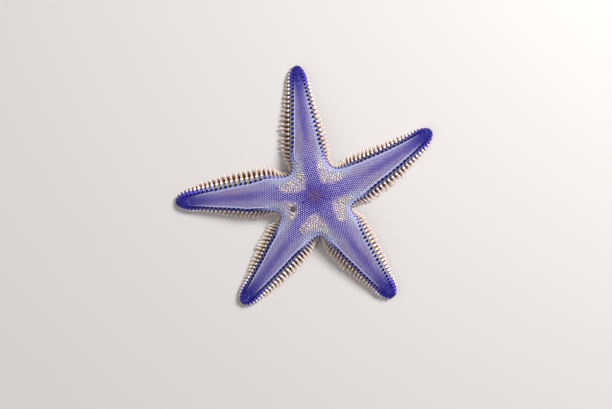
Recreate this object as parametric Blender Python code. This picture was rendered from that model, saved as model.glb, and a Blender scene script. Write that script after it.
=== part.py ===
"""A sand sea star at life size, lying on its underside with its five arms spread.

Lengths are in metres, +Z is up, and the part rests on Z = 0. Both sides of an arm carry
a row of marginal plates from the notch between two arms to the arm's tip. A place along
them is counted in plates from the notch, so that 4.5 is the middle of the fifth plate.
"""

import math
import random
from collections import namedtuple

import bmesh
import bpy
from mathutils import Matrix, Vector

MM = 0.001

# The centre of the disc, set so that the origin is under the middle of the whole animal
DISC_CENTRE = Vector((4.03 * MM, -4.01 * MM))

# Arms run anticlockwise, seen from above. The azimuth is at the root, and the arm's
# direction turns steadily to its tip. A lean moves the arm's back towards its left side.
# Spines are the shares of full length that the left and the right fringe reach.
Arm = namedtuple("Arm", "azimuth turn length girth lean spines")
ARMS = (
    Arm(102.5, -9.0, 49.7 * MM, girth=0.94, lean=-0.60 * MM, spines=(1.00, 0.68)),
    Arm(173.0, 19.0, 52.7 * MM, girth=1.00, lean=1.60 * MM, spines=(0.92, 1.00)),
    Arm(243.6, -15.5, 49.0 * MM, girth=0.99, lean=-0.70 * MM, spines=(0.92, 1.06)),
    Arm(310.0, -4.0, 48.2 * MM, girth=1.06, lean=-0.60 * MM, spines=(0.72, 1.00)),
    Arm(376.5, 26.0, 50.8 * MM, girth=0.99, lean=0.75 * MM, spines=(1.00, 0.80)),
)
# How far each notch is from the disc's centre, the first between arms 1 and 2
NOTCH_RADII = (12.8 * MM, 15.0 * MM, 15.4 * MM, 14.6 * MM, 13.1 * MM)

# The outline of an arm, by shares of its length
STRAIGHT_FROM = 0.36
WIDTH_ROOT_AT = 0.30
ROUND_FROM = 0.86
ROUND_SPAN = 0.145
TIP_PLATE_FROM = 0.950
HALF_WIDTH_ROOT = 7.6 * MM
HALF_WIDTH_ROUND = 3.85 * MM

# Heights, most of them as shares of the body's height at that place
DISC_HEIGHT = 8.6 * MM
TIP_HEIGHT = 3.0 * MM
HEIGHT_POWER = 1.1
SHOULDER_HEIGHT = 0.96
EDGE_HEIGHT = 0.86
CREST_HEIGHT = 0.70
SEAM_HEIGHT = 0.44
RIM_HEIGHT = 0.32
FURROW_HEIGHT = 0.32

# The marginal plates, an upper and a lower one at each place, and the furrow below
PLATES = 25
PITCH_FALL = 0.12
FLANK = 1.75 * MM
FLANK_OF_WIDTH = 0.46
CREST_OF_FLANK = 0.34
PLATE_RISE = 0.32 * MM
PLATE_RISE_SPREAD = 0.18
PLATE_ENDS = 0.17
SEAM_DEPTH = 0.36 * MM
SOLE_DEPTH = 0.50 * MM
UNDER_DEPTH = 2.4 * MM
FURROW_HALF = 1.35 * MM
FURROW_ROOF_SHARE = 0.62
JAW_RADIUS = 2.3 * MM

# Where the body is parted, counted in plates, and the gap that its parts keep
DISC_PLATES = 3
INNER_PLATES = 13
GAP = 0.3 * MM

# The tapered spikes: how deep a root is sunk, and where and how much the shaft narrows.
# They are three-sided, so a radius of 0.4 mm makes one 0.6 mm thick.
SPIKE_ROOT = 0.45 * MM
SPIKE_SHOULDER = 0.62
SPIKE_TAPER = 0.84

# Long spines on the lower plates
SPINE_LENGTH = 3.3 * MM
SPINE_AT_NOTCH = 0.5
SPINE_AT_TIP = 0.28
SPINE_FULL_FROM, SPINE_FULL_TO = 5.0, 10.0
SPINE_SPREAD = 0.12
SPINE_RADIUS = 0.40 * MM
SPINE_FLATNESS = 1.2
SPINE_SWEEP = (0.02, 0.28)
SPINE_CLIMB = (0.02, 0.16)
SPINE_FOOT = 0.45

# Tube feet
FOOT_PITCH = 1.6
FOOT_OFFSET = 0.48 * MM
FOOT_SPLAY = (-0.05, 0.12)
FOOT_RADIUS = 0.38 * MM
FOOT_CLEARANCE = 0.35 * MM

# The plate at an arm's tip
TIP_PLATE_TO = 1.0
TIP_PLATE_WIDTH = 0.86
TIP_PLATE_HEIGHT = 0.95
TIP_ROUNDNESS = 0.75
TIP_BENDS = (0, 25, 50, 72)
TIP_SIDES = 6
TIP_SPIKES = 4
TIP_FAN = 96.0
TIP_SPIKE_FOOT = 0.62
TIP_SPIKE_LENGTH = 1.1 * MM
TIP_SPIKE_RADIUS = 0.36 * MM
TIP_SPIKE_HEIGHT = 0.42
TIP_SPIKE_CLIMB = 0.2

# The middle of the disc
DISC_CROWN = 8.9 * MM
MADREPORITE_PLACE = Vector((-8.1 * MM, -4.9 * MM))
MADREPORITE_RADIUS = 1.1 * MM
MADREPORITE_BED = 7.2 * MM
MADREPORITE_HEIGHT = 0.75 * MM
MOUTH_OPENING = 0.8 * MM
MOUTH_THICKNESS = 0.9 * MM
MOUTH_STEPS = 12

LEAN_FULL_AT = 8.0
LEAN_FALLS_FROM = 16.0
LEAN_AT_TIP = 0.4
MARGIN_STEPS = 60
SEED = 11


def arm_axis(arm, share):
    """The point of an arm's axis at a share of its length, from the disc's centre."""
    start, turn = math.radians(arm.azimuth), math.radians(arm.turn)
    end = start + turn * share
    radius = arm.length / turn
    return radius * Vector((math.sin(end) - math.sin(start), math.cos(start) - math.cos(end)))


def arm_left(arm, share):
    """The level direction to an arm's left, at a share of its length."""
    heading = math.radians(arm.azimuth + arm.turn * share)
    return Vector((-math.sin(heading), math.cos(heading)))


def half_width(arm, share):
    """Half the width of an arm at a share of its length."""
    if share <= ROUND_FROM:
        along = (share - WIDTH_ROOT_AT) / (ROUND_FROM - WIDTH_ROOT_AT)
        width = HALF_WIDTH_ROOT + (HALF_WIDTH_ROUND - HALF_WIDTH_ROOT) * along
    else:
        width = HALF_WIDTH_ROUND * math.sqrt(max(0.0, 1 - ((share - ROUND_FROM) / ROUND_SPAN) ** 2))
    return width * arm.girth


def arm_edge(arm, side, share):
    """The outer edge of an arm at a share of its length. Side is 1 for left, -1 for right."""
    return arm_axis(arm, share) + side * half_width(arm, share) * arm_left(arm, share)


def notch_direction(notch):
    """The direction of the notch between an arm and the next one."""
    first = ARMS[notch].azimuth
    following = ARMS[(notch + 1) % len(ARMS)].azimuth
    azimuth = math.radians(first + ((following - first) % 360) / 2)
    return Vector((math.cos(azimuth), math.sin(azimuth)))


def margin_line(index, side):
    """Points along one side of an arm, from the middle of the notch to the tip plate."""
    arm = ARMS[index]
    notch = index if side > 0 else index - 1
    outward = notch_direction(notch)
    start = outward * NOTCH_RADII[notch]
    start_way = side * Vector((outward.y, -outward.x))
    end = arm_edge(arm, side, STRAIGHT_FROM)
    end_way = (arm_edge(arm, side, STRAIGHT_FROM + 0.01) - end).normalized()
    reach = (end - start).length
    points = []
    for step in range(MARGIN_STEPS):
        u = step / MARGIN_STEPS
        points.append(
            (2 * u**3 - 3 * u**2 + 1) * start
            + (u**3 - 2 * u**2 + u) * reach * start_way
            + (3 * u**2 - 2 * u**3) * end
            + (u**3 - u**2) * reach * end_way
        )
    for step in range(MARGIN_STEPS + 1):
        share = STRAIGHT_FROM + (TIP_PLATE_FROM - STRAIGHT_FROM) * step / MARGIN_STEPS
        points.append(arm_edge(arm, side, share))
    return points


class Margin:
    """The outer edge of one side of an arm, measured in plates."""

    def __init__(self, index, side):
        self.points = margin_line(index, side)
        self.reach = [0.0]
        for near, far in zip(self.points, self.points[1:]):
            self.reach.append(self.reach[-1] + (far - near).length)

    def at(self, plate):
        share = plate / PLATES
        along = self.reach[-1] * share * (1 + PITCH_FALL - PITCH_FALL * share)
        for number, (near, far) in enumerate(zip(self.reach, self.reach[1:])):
            if along <= far:
                return self.points[number].lerp(self.points[number + 1], (along - near) / (far - near))
        return self.points[-1].copy()

    def pitch(self, plate):
        return (self.at(plate + 0.5) - self.at(plate - 0.5)).length


MARGINS = [{side: Margin(index, side) for side in (1, -1)} for index in range(len(ARMS))]


def gap_in_plates(index, plate):
    """Half the gap between two nodes, counted in plates of the shorter side."""
    return GAP / 2 / min(MARGINS[index][side].pitch(plate) for side in (1, -1))


Section = namedtuple("Section", "left right middle across half height lean flank scale")


def section_at(index, plate):
    """The measures of an arm's cross-section at a count of plates from the notch."""
    left, right = MARGINS[index][1].at(plate), MARGINS[index][-1].at(plate)
    half = (left - right).length / 2
    scale = min(1.0, half / HALF_WIDTH_ROUND)
    height = DISC_HEIGHT + (TIP_HEIGHT - DISC_HEIGHT) * (plate / PLATES) ** HEIGHT_POWER
    swing = min(1.0, max(0.0, (plate - DISC_PLATES) / (LEAN_FULL_AT - DISC_PLATES)))
    swing -= (1 - LEAN_AT_TIP) * max(0.0, (plate - LEAN_FALLS_FROM) / (PLATES - LEAN_FALLS_FROM))
    return Section(
        left=left,
        right=right,
        middle=(left + right) / 2,
        across=(left - right).normalized(),
        half=half,
        height=height,
        lean=ARMS[index].lean * swing * scale,
        flank=min(FLANK, FLANK_OF_WIDTH * half),
        scale=scale,
    )


def inward_at(section, index, side, plate):
    """The level direction from the edge into the arm. At a notch it is to the disc's centre."""
    along = -side * section.across
    if plate >= DISC_PLATES:
        return along
    notch = index if side > 0 else index - 1
    return (-notch_direction(notch)).lerp(along, plate / DISC_PLATES).normalized()


def flank_point(name, index, side, plate, rise):
    """A point on the side of an arm, by row. Rise is 1 on a plate and 0 between plates."""
    section = section_at(index, plate)
    lift = PLATE_RISE * section.scale * rise
    sink = PLATE_RISE * section.scale - lift
    height, flank = section.height, section.flank
    distance, z = {
        "edge": (flank, EDGE_HEIGHT * height + 0.5 * lift),
        "crest": (CREST_OF_FLANK * flank + 0.7 * sink, CREST_HEIGHT * height + 0.7 * lift),
        "seam": (SEAM_DEPTH * section.scale + 0.4 * sink, SEAM_HEIGHT * height),
        "rim": (sink, RIM_HEIGHT * height),
        "sole": (SOLE_DEPTH * section.scale + 0.6 * sink, 0.0),
        "under": (UNDER_DEPTH * section.scale, 0.0),
    }[name]
    shift = section.across * section.lean * z / height
    edge = section.left if side > 0 else section.right
    return Vector((*(edge + inward_at(section, index, side, plate) * distance + shift), z))


def middle_point(name, index, side, plate):
    """A point on the back or in the furrow of an arm, by row."""
    section = section_at(index, plate)
    inner = section.half - section.flank
    furrow = FURROW_HALF * section.scale
    roof = FURROW_HEIGHT * section.height
    across, z = {
        "ridge": (0.0, section.height),
        "shoulder": (0.55 * inner, SHOULDER_HEIGHT * section.height),
        "lip": (furrow, 0.0),
        "vault": (FURROW_ROOF_SHARE * furrow, roof),
        "roof": (0.0, roof),
    }[name]
    lean = section.lean * z / section.height
    return Vector((*(section.middle + section.across * (side * across + lean)), z))


# The rows of points along an arm, in order round its cross-section from the ridge
FLANK_ROWS = ("edge", "crest", "seam", "rim", "sole", "under")
LEFT_ROWS = tuple((name, 1) for name in ("shoulder", *FLANK_ROWS, "lip", "vault"))
RIGHT_ROWS = tuple((name, -1) for name, _ in reversed(LEFT_ROWS))
ROWS = (("ridge", 1), *LEFT_ROWS, ("roof", 1), *RIGHT_ROWS)
PLATE_ROWS = FLANK_ROWS[:-1]


def plate_stations(first, last):
    """Places along an arm with the share of a plate's rise at each, for the plates' rows."""
    stations = []
    for plate in range(math.floor(first), math.ceil(last)):
        stations.append((plate, 0.0))
        stations.append((plate + PLATE_ENDS, 1.0))
        stations.append((plate + 1 - PLATE_ENDS, 1.0))
    stations.append((math.ceil(last), 0.0))
    middle = [(place, rise) for place, rise in stations if first < place < last]
    return [(first, 0.0), *middle, (last, 0.0)]


def plain_stations(first, last):
    """Places along an arm for the rows without plates: both ends and every second plate."""
    middle = [plate for plate in range(0, PLATES, 2) if first + 0.5 < plate < last - 0.5]
    return [first, *middle, last]


def row_of(mesh, name, side, index, first, last, rises):
    """The vertices of one row along an arm, each with its place."""
    if name in PLATE_ROWS:
        return [
            (place, mesh.verts.new(flank_point(name, index, side, place, rise * rises[side][int(place)])))
            for place, rise in plate_stations(first, last)
        ]
    row = []
    for place in plain_stations(first, last):
        if name == "under":
            point = flank_point(name, index, side, place, 1.0)
        else:
            point = middle_point(name, index, side, place)
        row.append((place, mesh.verts.new(point)))
    return row


def lace(mesh, near, far):
    """Fills the space between two rows of vertices, whose places may differ."""

    def next_middle(row, at):
        return (row[at][0] + row[at + 1][0]) / 2 if at + 1 < len(row) else math.inf

    a, b = 0, 0
    while a + 1 < len(near) or b + 1 < len(far):
        step_a, step_b = next_middle(near, a), next_middle(far, b)
        corners = [near[a][1], far[b][1]]
        if step_b <= step_a:
            b += 1
            corners.append(far[b][1])
        if step_a <= step_b:
            a += 1
            corners.append(near[a][1])
        mesh.faces.new(corners)


def add_arm(mesh, index, first, last, rng):
    """The skin of a length of an arm, open at both ends, as rows of vertices."""
    rises = {
        side: [rng.uniform(1 - PLATE_RISE_SPREAD, 1) for _ in range(PLATES + 1)] for side in (1, -1)
    }
    rows = [row_of(mesh, name, side, index, first, last, rises) for name, side in ROWS]
    for near, far in zip(rows, rows[1:] + rows[:1]):
        lace(mesh, near, far)
    return rows


def close_end(mesh, rows, end):
    """Closes an end of an arm's skin with a fan on each side of the furrow."""
    ring = {key: row[end][1] for key, row in zip(ROWS, rows)}
    for side in (1, -1):
        chain = [ring["roof", 1], ring["ridge", 1], ring["shoulder", side]]
        chain += [ring[name, side] for name in (*FLANK_ROWS, "lip")]
        for near, far in zip(chain, chain[1:]):
            mesh.faces.new((ring["vault", side], near, far))


def finish(name, mesh, material):
    """Makes an object of a closed mesh that was drawn round the disc's centre."""
    bmesh.ops.recalc_face_normals(mesh, faces=mesh.faces)
    bmesh.ops.translate(mesh, verts=mesh.verts, vec=(*DISC_CENTRE, 0.0))
    data = bpy.data.meshes.new(name)
    mesh.to_mesh(data)
    mesh.free()
    data.materials.append(material)
    data.shade_smooth()
    data.set_sharp_from_angle(angle=math.radians(35))
    thing = bpy.data.objects.new(name, data)
    bpy.context.scene.collection.objects.link(thing)
    return thing


def make_material(name, colour, roughness):
    material = bpy.data.materials.new(name)
    material.use_nodes = True
    shader = material.node_tree.nodes["Principled BSDF"]
    shader.inputs["Base Color"].default_value = (*colour, 1.0)
    shader.inputs["Roughness"].default_value = roughness
    material.diffuse_color = (*colour, 1.0)
    return material


def clear_scene():
    for thing in list(bpy.data.objects):
        bpy.data.objects.remove(thing, do_unlink=True)


def root_block(name, mesh):
    """A closed form that is fused to a node later, and so is kept out of the scene until then."""
    bmesh.ops.recalc_face_normals(mesh, faces=mesh.faces)
    bmesh.ops.translate(mesh, verts=mesh.verts, vec=(*DISC_CENTRE, 0.0))
    data = bpy.data.meshes.new(name)
    mesh.to_mesh(data)
    mesh.free()
    return bpy.data.objects.new(name, data)


def make_spike(foot, way, length, radius, flatness=1.0):
    """A three-sided spike with a ridge on top, sunk below its foot and tapered to a point."""
    mesh = bmesh.new()
    shaft = SPIKE_ROOT + length * SPIKE_SHOULDER
    bmesh.ops.create_cone(
        mesh, cap_ends=True, segments=3, radius1=radius, radius2=radius * SPIKE_TAPER, depth=shaft
    )
    bmesh.ops.translate(mesh, verts=mesh.verts, vec=(0.0, 0.0, shaft / 2 - SPIKE_ROOT))
    upper = max(mesh.faces, key=lambda face: face.calc_center_median().z)
    poked = bmesh.ops.poke(mesh, faces=[upper])
    poked["verts"][0].co.z = length
    turn = way.to_track_quat("Z", "Y").to_matrix().to_4x4()
    place = Matrix.Translation(foot) @ turn @ Matrix.Diagonal((flatness, 1.0, 1.0, 1.0))
    bmesh.ops.transform(mesh, matrix=place, verts=mesh.verts)
    return root_block("spike", mesh)


def spine_length(plate):
    """Length of the long spine on a lower plate. It is shorter in the notch and to the tip."""
    growth = min(1.0, SPINE_AT_NOTCH + (1 - SPINE_AT_NOTCH) * plate / SPINE_FULL_FROM)
    fall = max(0.0, plate - SPINE_FULL_TO) / (PLATES - SPINE_FULL_TO)
    return SPINE_LENGTH * growth * (1 - (1 - SPINE_AT_TIP) * fall)


def margin_spines(index, side, first, last, rng):
    """One long spine on each lower plate, pointing out and a little to the arm's tip."""
    reach = ARMS[index].spines[0 if side > 0 else 1]
    spines = []
    for number in range(first, last):
        plate = number + 0.5
        rim = flank_point("rim", index, side, plate, 1.0)
        sole = flank_point("sole", index, side, plate, 1.0)
        margin = MARGINS[index][side]
        out = -inward_at(section_at(index, plate), index, side, plate)
        along = (margin.at(plate + 0.5) - margin.at(plate - 0.5)).normalized()
        way = out + along * rng.uniform(*SPINE_SWEEP)
        climb = rng.uniform(*SPINE_CLIMB)
        length = reach * spine_length(plate) * rng.uniform(1 - SPINE_SPREAD, 1 + SPINE_SPREAD)
        foot = rim.lerp(sole, SPINE_FOOT)
        way = Vector((*way, climb)).normalized()
        spines.append(make_spike(foot, way, length, SPINE_RADIUS, SPINE_FLATNESS))
    return spines


def tube_feet(index, first, last, rng):
    """Two rows of soft pointed feet that hang from the furrow's roof and stay off the floor."""
    feet = []
    place = first + FOOT_PITCH
    while place < last - FOOT_PITCH / 2:
        section = section_at(index, place)
        roof = FURROW_HEIGHT * section.height
        for side in (1, -1):
            across = side * FOOT_OFFSET * section.scale
            foot = Vector((*(section.middle + section.across * across), roof))
            splay = section.across * side * rng.uniform(*FOOT_SPLAY)
            way = Vector((*splay, -1.0)).normalized()
            length = roof - FOOT_CLEARANCE
            feet.append(make_spike(foot, way, length, FOOT_RADIUS))
        place += FOOT_PITCH
    return feet


def keep_largest(thing):
    """Leaves only the largest closed surface of an object."""
    mesh = bmesh.new()
    mesh.from_mesh(thing.data)
    left = set(mesh.verts)
    islands = []
    while left:
        island = {left.pop()}
        edge_of_island = list(island)
        while edge_of_island:
            vertex = edge_of_island.pop()
            fresh = {edge.other_vert(vertex) for edge in vertex.link_edges} - island
            island |= fresh
            edge_of_island.extend(fresh)
        left -= island
        islands.append(island)
    largest = max(islands, key=len)
    bmesh.ops.delete(mesh, geom=[v for v in mesh.verts if v not in largest], context="VERTS")
    mesh.to_mesh(thing.data)
    mesh.free()


def apply_boolean(thing, operation, pieces):
    """Joins or cuts an object with pieces, which are then removed."""
    group = bpy.data.collections.new("pieces")
    bpy.context.scene.collection.children.link(group)
    for piece in pieces:
        group.objects.link(piece)
    modifier = thing.modifiers.new("joined", "BOOLEAN")
    modifier.operation = operation
    modifier.operand_type = "COLLECTION"
    modifier.collection = group
    modifier.solver = "EXACT"
    graph = bpy.context.evaluated_depsgraph_get()
    joined = bpy.data.meshes.new_from_object(thing.evaluated_get(graph))
    thing.modifiers.remove(modifier)
    thing.data = joined
    for piece in pieces:
        bpy.data.objects.remove(piece, do_unlink=True)
    bpy.data.collections.remove(group)
    keep_largest(thing)


def make_arm_length(name, index, first, last, material):
    """A length of an arm with the plates, spines and tube feet that it carries."""
    rng = random.Random(SEED + index)
    mesh = bmesh.new()
    start = first + gap_in_plates(index, first)
    end = last - gap_in_plates(index, last)
    rows = add_arm(mesh, index, start, end, rng)
    close_end(mesh, rows, 0)
    close_end(mesh, rows, -1)
    arm = finish(name, mesh, material)
    spikes = tube_feet(index, first, last, rng)
    for side in (1, -1):
        spikes += margin_spines(index, side, first, last, rng)
    apply_boolean(arm, "UNION", spikes)


def make_disc(material):
    """The disc, with the root of each arm, the furrows and the mouth between five jaws."""
    rng = random.Random(SEED)
    mesh = bmesh.new()
    roots = []
    for index in range(len(ARMS)):
        last = DISC_PLATES - gap_in_plates(index, DISC_PLATES)
        rows = add_arm(mesh, index, 0, last, rng)
        close_end(mesh, rows, -1)
        roots.append({key: row[0][1] for key, row in zip(ROWS, rows)})
    doubles = {}
    for root, following in zip(roots, roots[1:] + roots[:1]):
        for name in FLANK_ROWS:
            doubles[following[name, -1]] = root[name, 1]
            following[name, -1] = root[name, 1]
    bmesh.ops.weld_verts(mesh, targetmap=doubles)

    roof = FURROW_HEIGHT * DISC_HEIGHT
    top = mesh.verts.new((0.0, 0.0, DISC_CROWN))
    vault = mesh.verts.new((0.0, 0.0, roof))
    jaws = []
    for notch in range(len(ARMS)):
        point = notch_direction(notch) * JAW_RADIUS
        jaws.append([mesh.verts.new((*point, z)) for z in (0.0, roof)])
    for index, root in enumerate(roots):
        following = roots[(index + 1) % len(ARMS)]
        (low_before, high_before), (low, high) = jaws[index - 1], jaws[index]
        back = [root["edge", -1], root["shoulder", -1], root["ridge", 1]]
        back += [root["shoulder", 1], root["edge", 1]]
        ceiling = [high_before, root["vault", -1], root["roof", 1], root["vault", 1], high]
        for hub, rim in ((top, back), (vault, ceiling)):
            for near, far in zip(rim, rim[1:]):
                mesh.faces.new((hub, near, far))
        mesh.faces.new((root["lip", 1], root["vault", 1], high, low))
        mesh.faces.new((root["lip", -1], low_before, high_before, root["vault", -1]))
        mesh.faces.new((root["under", 1], root["lip", 1], low, following["lip", -1]))
    disc = finish("disc", mesh, material)
    spikes = []
    for index in range(len(ARMS)):
        spikes += tube_feet(index, 0, DISC_PLATES, rng)
        for side in (1, -1):
            spikes += margin_spines(index, side, 0, DISC_PLATES, rng)
    apply_boolean(disc, "UNION", spikes)
    pocket = bmesh.new()
    bmesh.ops.create_cone(
        pocket,
        cap_ends=True,
        segments=16,
        radius1=MADREPORITE_RADIUS + GAP,
        radius2=MADREPORITE_RADIUS + GAP,
        depth=2 * (DISC_CROWN - MADREPORITE_BED),
        matrix=Matrix.Translation((*MADREPORITE_PLACE, DISC_CROWN)),
    )
    apply_boolean(disc, "DIFFERENCE", [root_block("pocket", pocket)])


def make_tip(index, material):
    """The plate that closes an arm's tip, with short spikes round it."""
    rng = random.Random(SEED + 10 * index)
    arm = ARMS[index]
    section = section_at(index, PLATES)
    start = TIP_PLATE_FROM + GAP / arm.length
    mesh = bmesh.new()
    rings = []
    for bend in TIP_BENDS:
        share = start + (TIP_PLATE_TO - start) * math.sin(math.radians(bend))
        shrink = math.cos(math.radians(bend)) ** TIP_ROUNDNESS
        centre, across = arm_axis(arm, share), arm_left(arm, share)
        ring = []
        for step in range(TIP_SIDES + 1):
            angle = math.pi * step / TIP_SIDES
            z = section.height * TIP_PLATE_HEIGHT * shrink * math.sin(angle)
            side = across * section.half * TIP_PLATE_WIDTH * shrink * math.cos(angle)
            ring.append((step, mesh.verts.new((*(centre + side + across * section.lean * 0.5), z))))
        rings.append(ring)
    for near, far in zip(rings, rings[1:]):
        lace(mesh, near, far)
        mesh.faces.new((near[0][1], far[0][1], far[-1][1], near[-1][1]))
    for ring in (rings[0], rings[-1]):
        mesh.faces.new([vertex for _, vertex in ring])
    tip = finish(f"arm_{index + 1}_tip", mesh, material)
    spikes = []
    centre = arm_axis(arm, start)
    for number in range(TIP_SPIKES):
        bearing = math.radians(TIP_FAN * (number / (TIP_SPIKES - 1) - 0.5))
        ahead = Vector((arm_left(arm, start).y, -arm_left(arm, start).x))
        out = math.cos(bearing) * ahead + math.sin(bearing) * arm_left(arm, start)
        foot = centre + out * section.half * TIP_SPIKE_FOOT
        length = TIP_SPIKE_LENGTH * rng.uniform(0.85, 1.0)
        root = Vector((*foot, section.height * TIP_SPIKE_HEIGHT))
        way = Vector((*out, TIP_SPIKE_CLIMB)).normalized()
        spikes.append(make_spike(root, way, length, TIP_SPIKE_RADIUS))
    apply_boolean(tip, "UNION", spikes)


def make_madreporite(material):
    """The round sieve plate that lies in a pocket of the disc's back."""
    mesh = bmesh.new()
    bed = MADREPORITE_BED + GAP
    bmesh.ops.create_cone(
        mesh,
        cap_ends=True,
        segments=16,
        radius1=MADREPORITE_RADIUS,
        radius2=MADREPORITE_RADIUS * 0.75,
        depth=MADREPORITE_HEIGHT,
        matrix=Matrix.Translation((*MADREPORITE_PLACE, bed + MADREPORITE_HEIGHT / 2)),
    )
    finish("madreporite", mesh, material)


def make_mouth(material):
    """The soft ring round the mouth's opening, under the roof where the furrows meet."""
    mesh = bmesh.new()
    upper = FURROW_HEIGHT * DISC_HEIGHT - GAP
    profile = [
        (MOUTH_OPENING, upper - MOUTH_THICKNESS * 0.7),
        (MOUTH_OPENING + 0.4 * MM, upper - MOUTH_THICKNESS),
        (JAW_RADIUS - GAP - 0.3 * MM, upper - MOUTH_THICKNESS * 0.5),
        (JAW_RADIUS - GAP, upper),
        (MOUTH_OPENING, upper),
    ]
    corners = [mesh.verts.new((x, 0.0, z)) for x, z in profile]
    edges = [mesh.edges.new(pair) for pair in zip(corners, corners[1:] + corners[:1])]
    bmesh.ops.spin(
        mesh,
        geom=corners + edges,
        axis=(0, 0, 1),
        cent=(0, 0, 0),
        angle=math.tau,
        steps=MOUTH_STEPS,
        use_merge=True,
    )
    finish("mouth", mesh, material)


def main():
    clear_scene()
    skin = make_material("violet_skin", (0.16, 0.13, 0.42), 0.6)
    tip_skin = make_material("deep_blue_skin", (0.04, 0.05, 0.30), 0.55)
    chalk = make_material("cream_plate", (0.60, 0.55, 0.45), 0.7)
    flesh = make_material("pale_flesh", (0.62, 0.48, 0.38), 0.5)
    make_disc(skin)
    for index in range(len(ARMS)):
        make_arm_length(f"arm_{index + 1}_inner", index, DISC_PLATES, INNER_PLATES, skin)
        make_arm_length(f"arm_{index + 1}_outer", index, INNER_PLATES, PLATES, skin)
        make_tip(index, tip_skin)
    make_madreporite(chalk)
    make_mouth(flesh)


main()
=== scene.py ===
# %% [markdown]
# # A sand sea star, dressed
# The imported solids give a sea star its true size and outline, and this script dresses them. One
# skin replaces the flesh, thousands of tiny paxillae stand on its back, and plates, spines and
# tube feet follow the same curves as the solids. Each step first says what the piece is on the
# real animal, how it could be made, and why this way was chosen.

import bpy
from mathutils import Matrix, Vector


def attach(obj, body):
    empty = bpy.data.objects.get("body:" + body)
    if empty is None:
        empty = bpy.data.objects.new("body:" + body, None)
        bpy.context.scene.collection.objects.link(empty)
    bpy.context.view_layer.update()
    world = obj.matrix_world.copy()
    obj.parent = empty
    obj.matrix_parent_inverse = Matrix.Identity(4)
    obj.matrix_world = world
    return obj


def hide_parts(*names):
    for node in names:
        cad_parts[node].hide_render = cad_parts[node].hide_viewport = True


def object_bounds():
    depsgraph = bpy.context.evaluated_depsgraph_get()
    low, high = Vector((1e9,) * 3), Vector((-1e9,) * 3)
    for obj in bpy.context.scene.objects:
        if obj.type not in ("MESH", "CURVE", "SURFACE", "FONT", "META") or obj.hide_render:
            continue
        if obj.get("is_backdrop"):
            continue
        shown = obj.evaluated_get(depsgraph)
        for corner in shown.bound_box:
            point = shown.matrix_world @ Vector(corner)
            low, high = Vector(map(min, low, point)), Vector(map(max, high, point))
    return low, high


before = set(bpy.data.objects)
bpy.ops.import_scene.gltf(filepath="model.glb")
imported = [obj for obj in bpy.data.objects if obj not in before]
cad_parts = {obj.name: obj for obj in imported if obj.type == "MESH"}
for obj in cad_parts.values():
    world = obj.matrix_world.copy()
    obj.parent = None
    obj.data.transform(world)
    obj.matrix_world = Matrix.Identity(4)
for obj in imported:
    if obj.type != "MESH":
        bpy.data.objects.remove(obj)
cad_low, cad_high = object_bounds()
print("solids", len(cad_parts), "nodes, mm", [round(1000 * x, 1) for x in cad_high - cad_low])

# %% Modules, unit and seed
import math
from collections import namedtuple
from functools import partial

import bmesh
import bpy
import numpy as np
from mathutils import Matrix, Vector
from mathutils.kdtree import KDTree

MM = 0.001
rng = np.random.default_rng(11)

# %% [markdown]
# ## The animal's own measures
# Every piece has to lie where the solids are, so the sizes that drive the solids are repeated
# here: where each arm points, how it turns, how deep the notches are and how high the body is.
# A place could be read off the meshes, but a count of plates from the notch to the tip and a
# share from one side to the other are easier to follow.

# %% Sizes of the outline
DISC_CENTRE = np.array((4.03, -4.01, 0.0)) * MM
Arm = namedtuple("Arm", "azimuth turn length girth lean spines")
ARMS = (
    Arm(102.5, -9.0, 49.7 * MM, girth=0.94, lean=-0.60 * MM, spines=(1.00, 0.68)),
    Arm(173.0, 19.0, 52.7 * MM, girth=1.00, lean=1.60 * MM, spines=(0.92, 1.00)),
    Arm(243.6, -15.5, 49.0 * MM, girth=0.99, lean=-0.70 * MM, spines=(0.92, 1.06)),
    Arm(310.0, -4.0, 48.2 * MM, girth=1.06, lean=-0.60 * MM, spines=(0.72, 1.00)),
    Arm(376.5, 26.0, 50.8 * MM, girth=0.99, lean=0.75 * MM, spines=(1.00, 0.80)),
)
# The two sides of each arm, left (1) before right (-1), in the order in which rows are made
SIDES = [(index, side) for index in range(len(ARMS)) for side in (1, -1)]
NOTCH_RADII = (12.8 * MM, 15.0 * MM, 15.4 * MM, 14.6 * MM, 13.1 * MM)
STRAIGHT_FROM, WIDTH_ROOT_AT = 0.36, 0.30
ROUND_FROM, ROUND_SPAN = 0.86, 0.145
TIP_PLATE_FROM, ROUND_TIP_TO = 0.950, 0.9985
HALF_WIDTH_ROOT, HALF_WIDTH_ROUND = 7.6 * MM, 3.85 * MM
DISC_HEIGHT, DISC_CROWN = 8.6 * MM, 8.9 * MM
TIP_HEIGHT, TIP_DROP, HEIGHT_POWER = 3.0 * MM, 1.1 * MM, 1.1
PLATES, TIP_ROWS_END, DISC_PLATES = 25, 27.2, 3
TIP_PITCH, PITCH_FALL = 1.45 * MM, 0.12
FLANK, FLANK_OF_WIDTH = 1.75 * MM, 0.46
FURROW_HALF, FURROW_HEIGHT = 1.35 * MM, 0.32
LEAN_FULL_AT, LEAN_FALLS_FROM, LEAN_AT_TIP = 8.0, 16.0, 0.4
MARGIN_STEPS, ROUND_STEPS = 60, 40


# %% Small sums that many steps use
def turned(angle):
    """Level unit vectors at these angles, in radians."""
    return np.stack([np.cos(angle), np.sin(angle)], -1)


def leftward(ways):
    """Level ways after a quarter turn to the left."""
    return np.stack([-ways[..., 1], ways[..., 0]], -1)


def raised(level, z=0.0):
    """Level places or ways as points in space."""
    return np.concatenate([level, np.broadcast_to(z, level.shape[:-1])[..., None]], -1)


def unit(vectors):
    return vectors / np.maximum(np.linalg.norm(vectors, axis=-1, keepdims=True), 1e-12)


def ramp(value, low, high):
    """0 as far as low, 1 from high on, and an even rise between."""
    return np.clip((np.asarray(value) - low) / (high - low), 0, 1)


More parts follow.
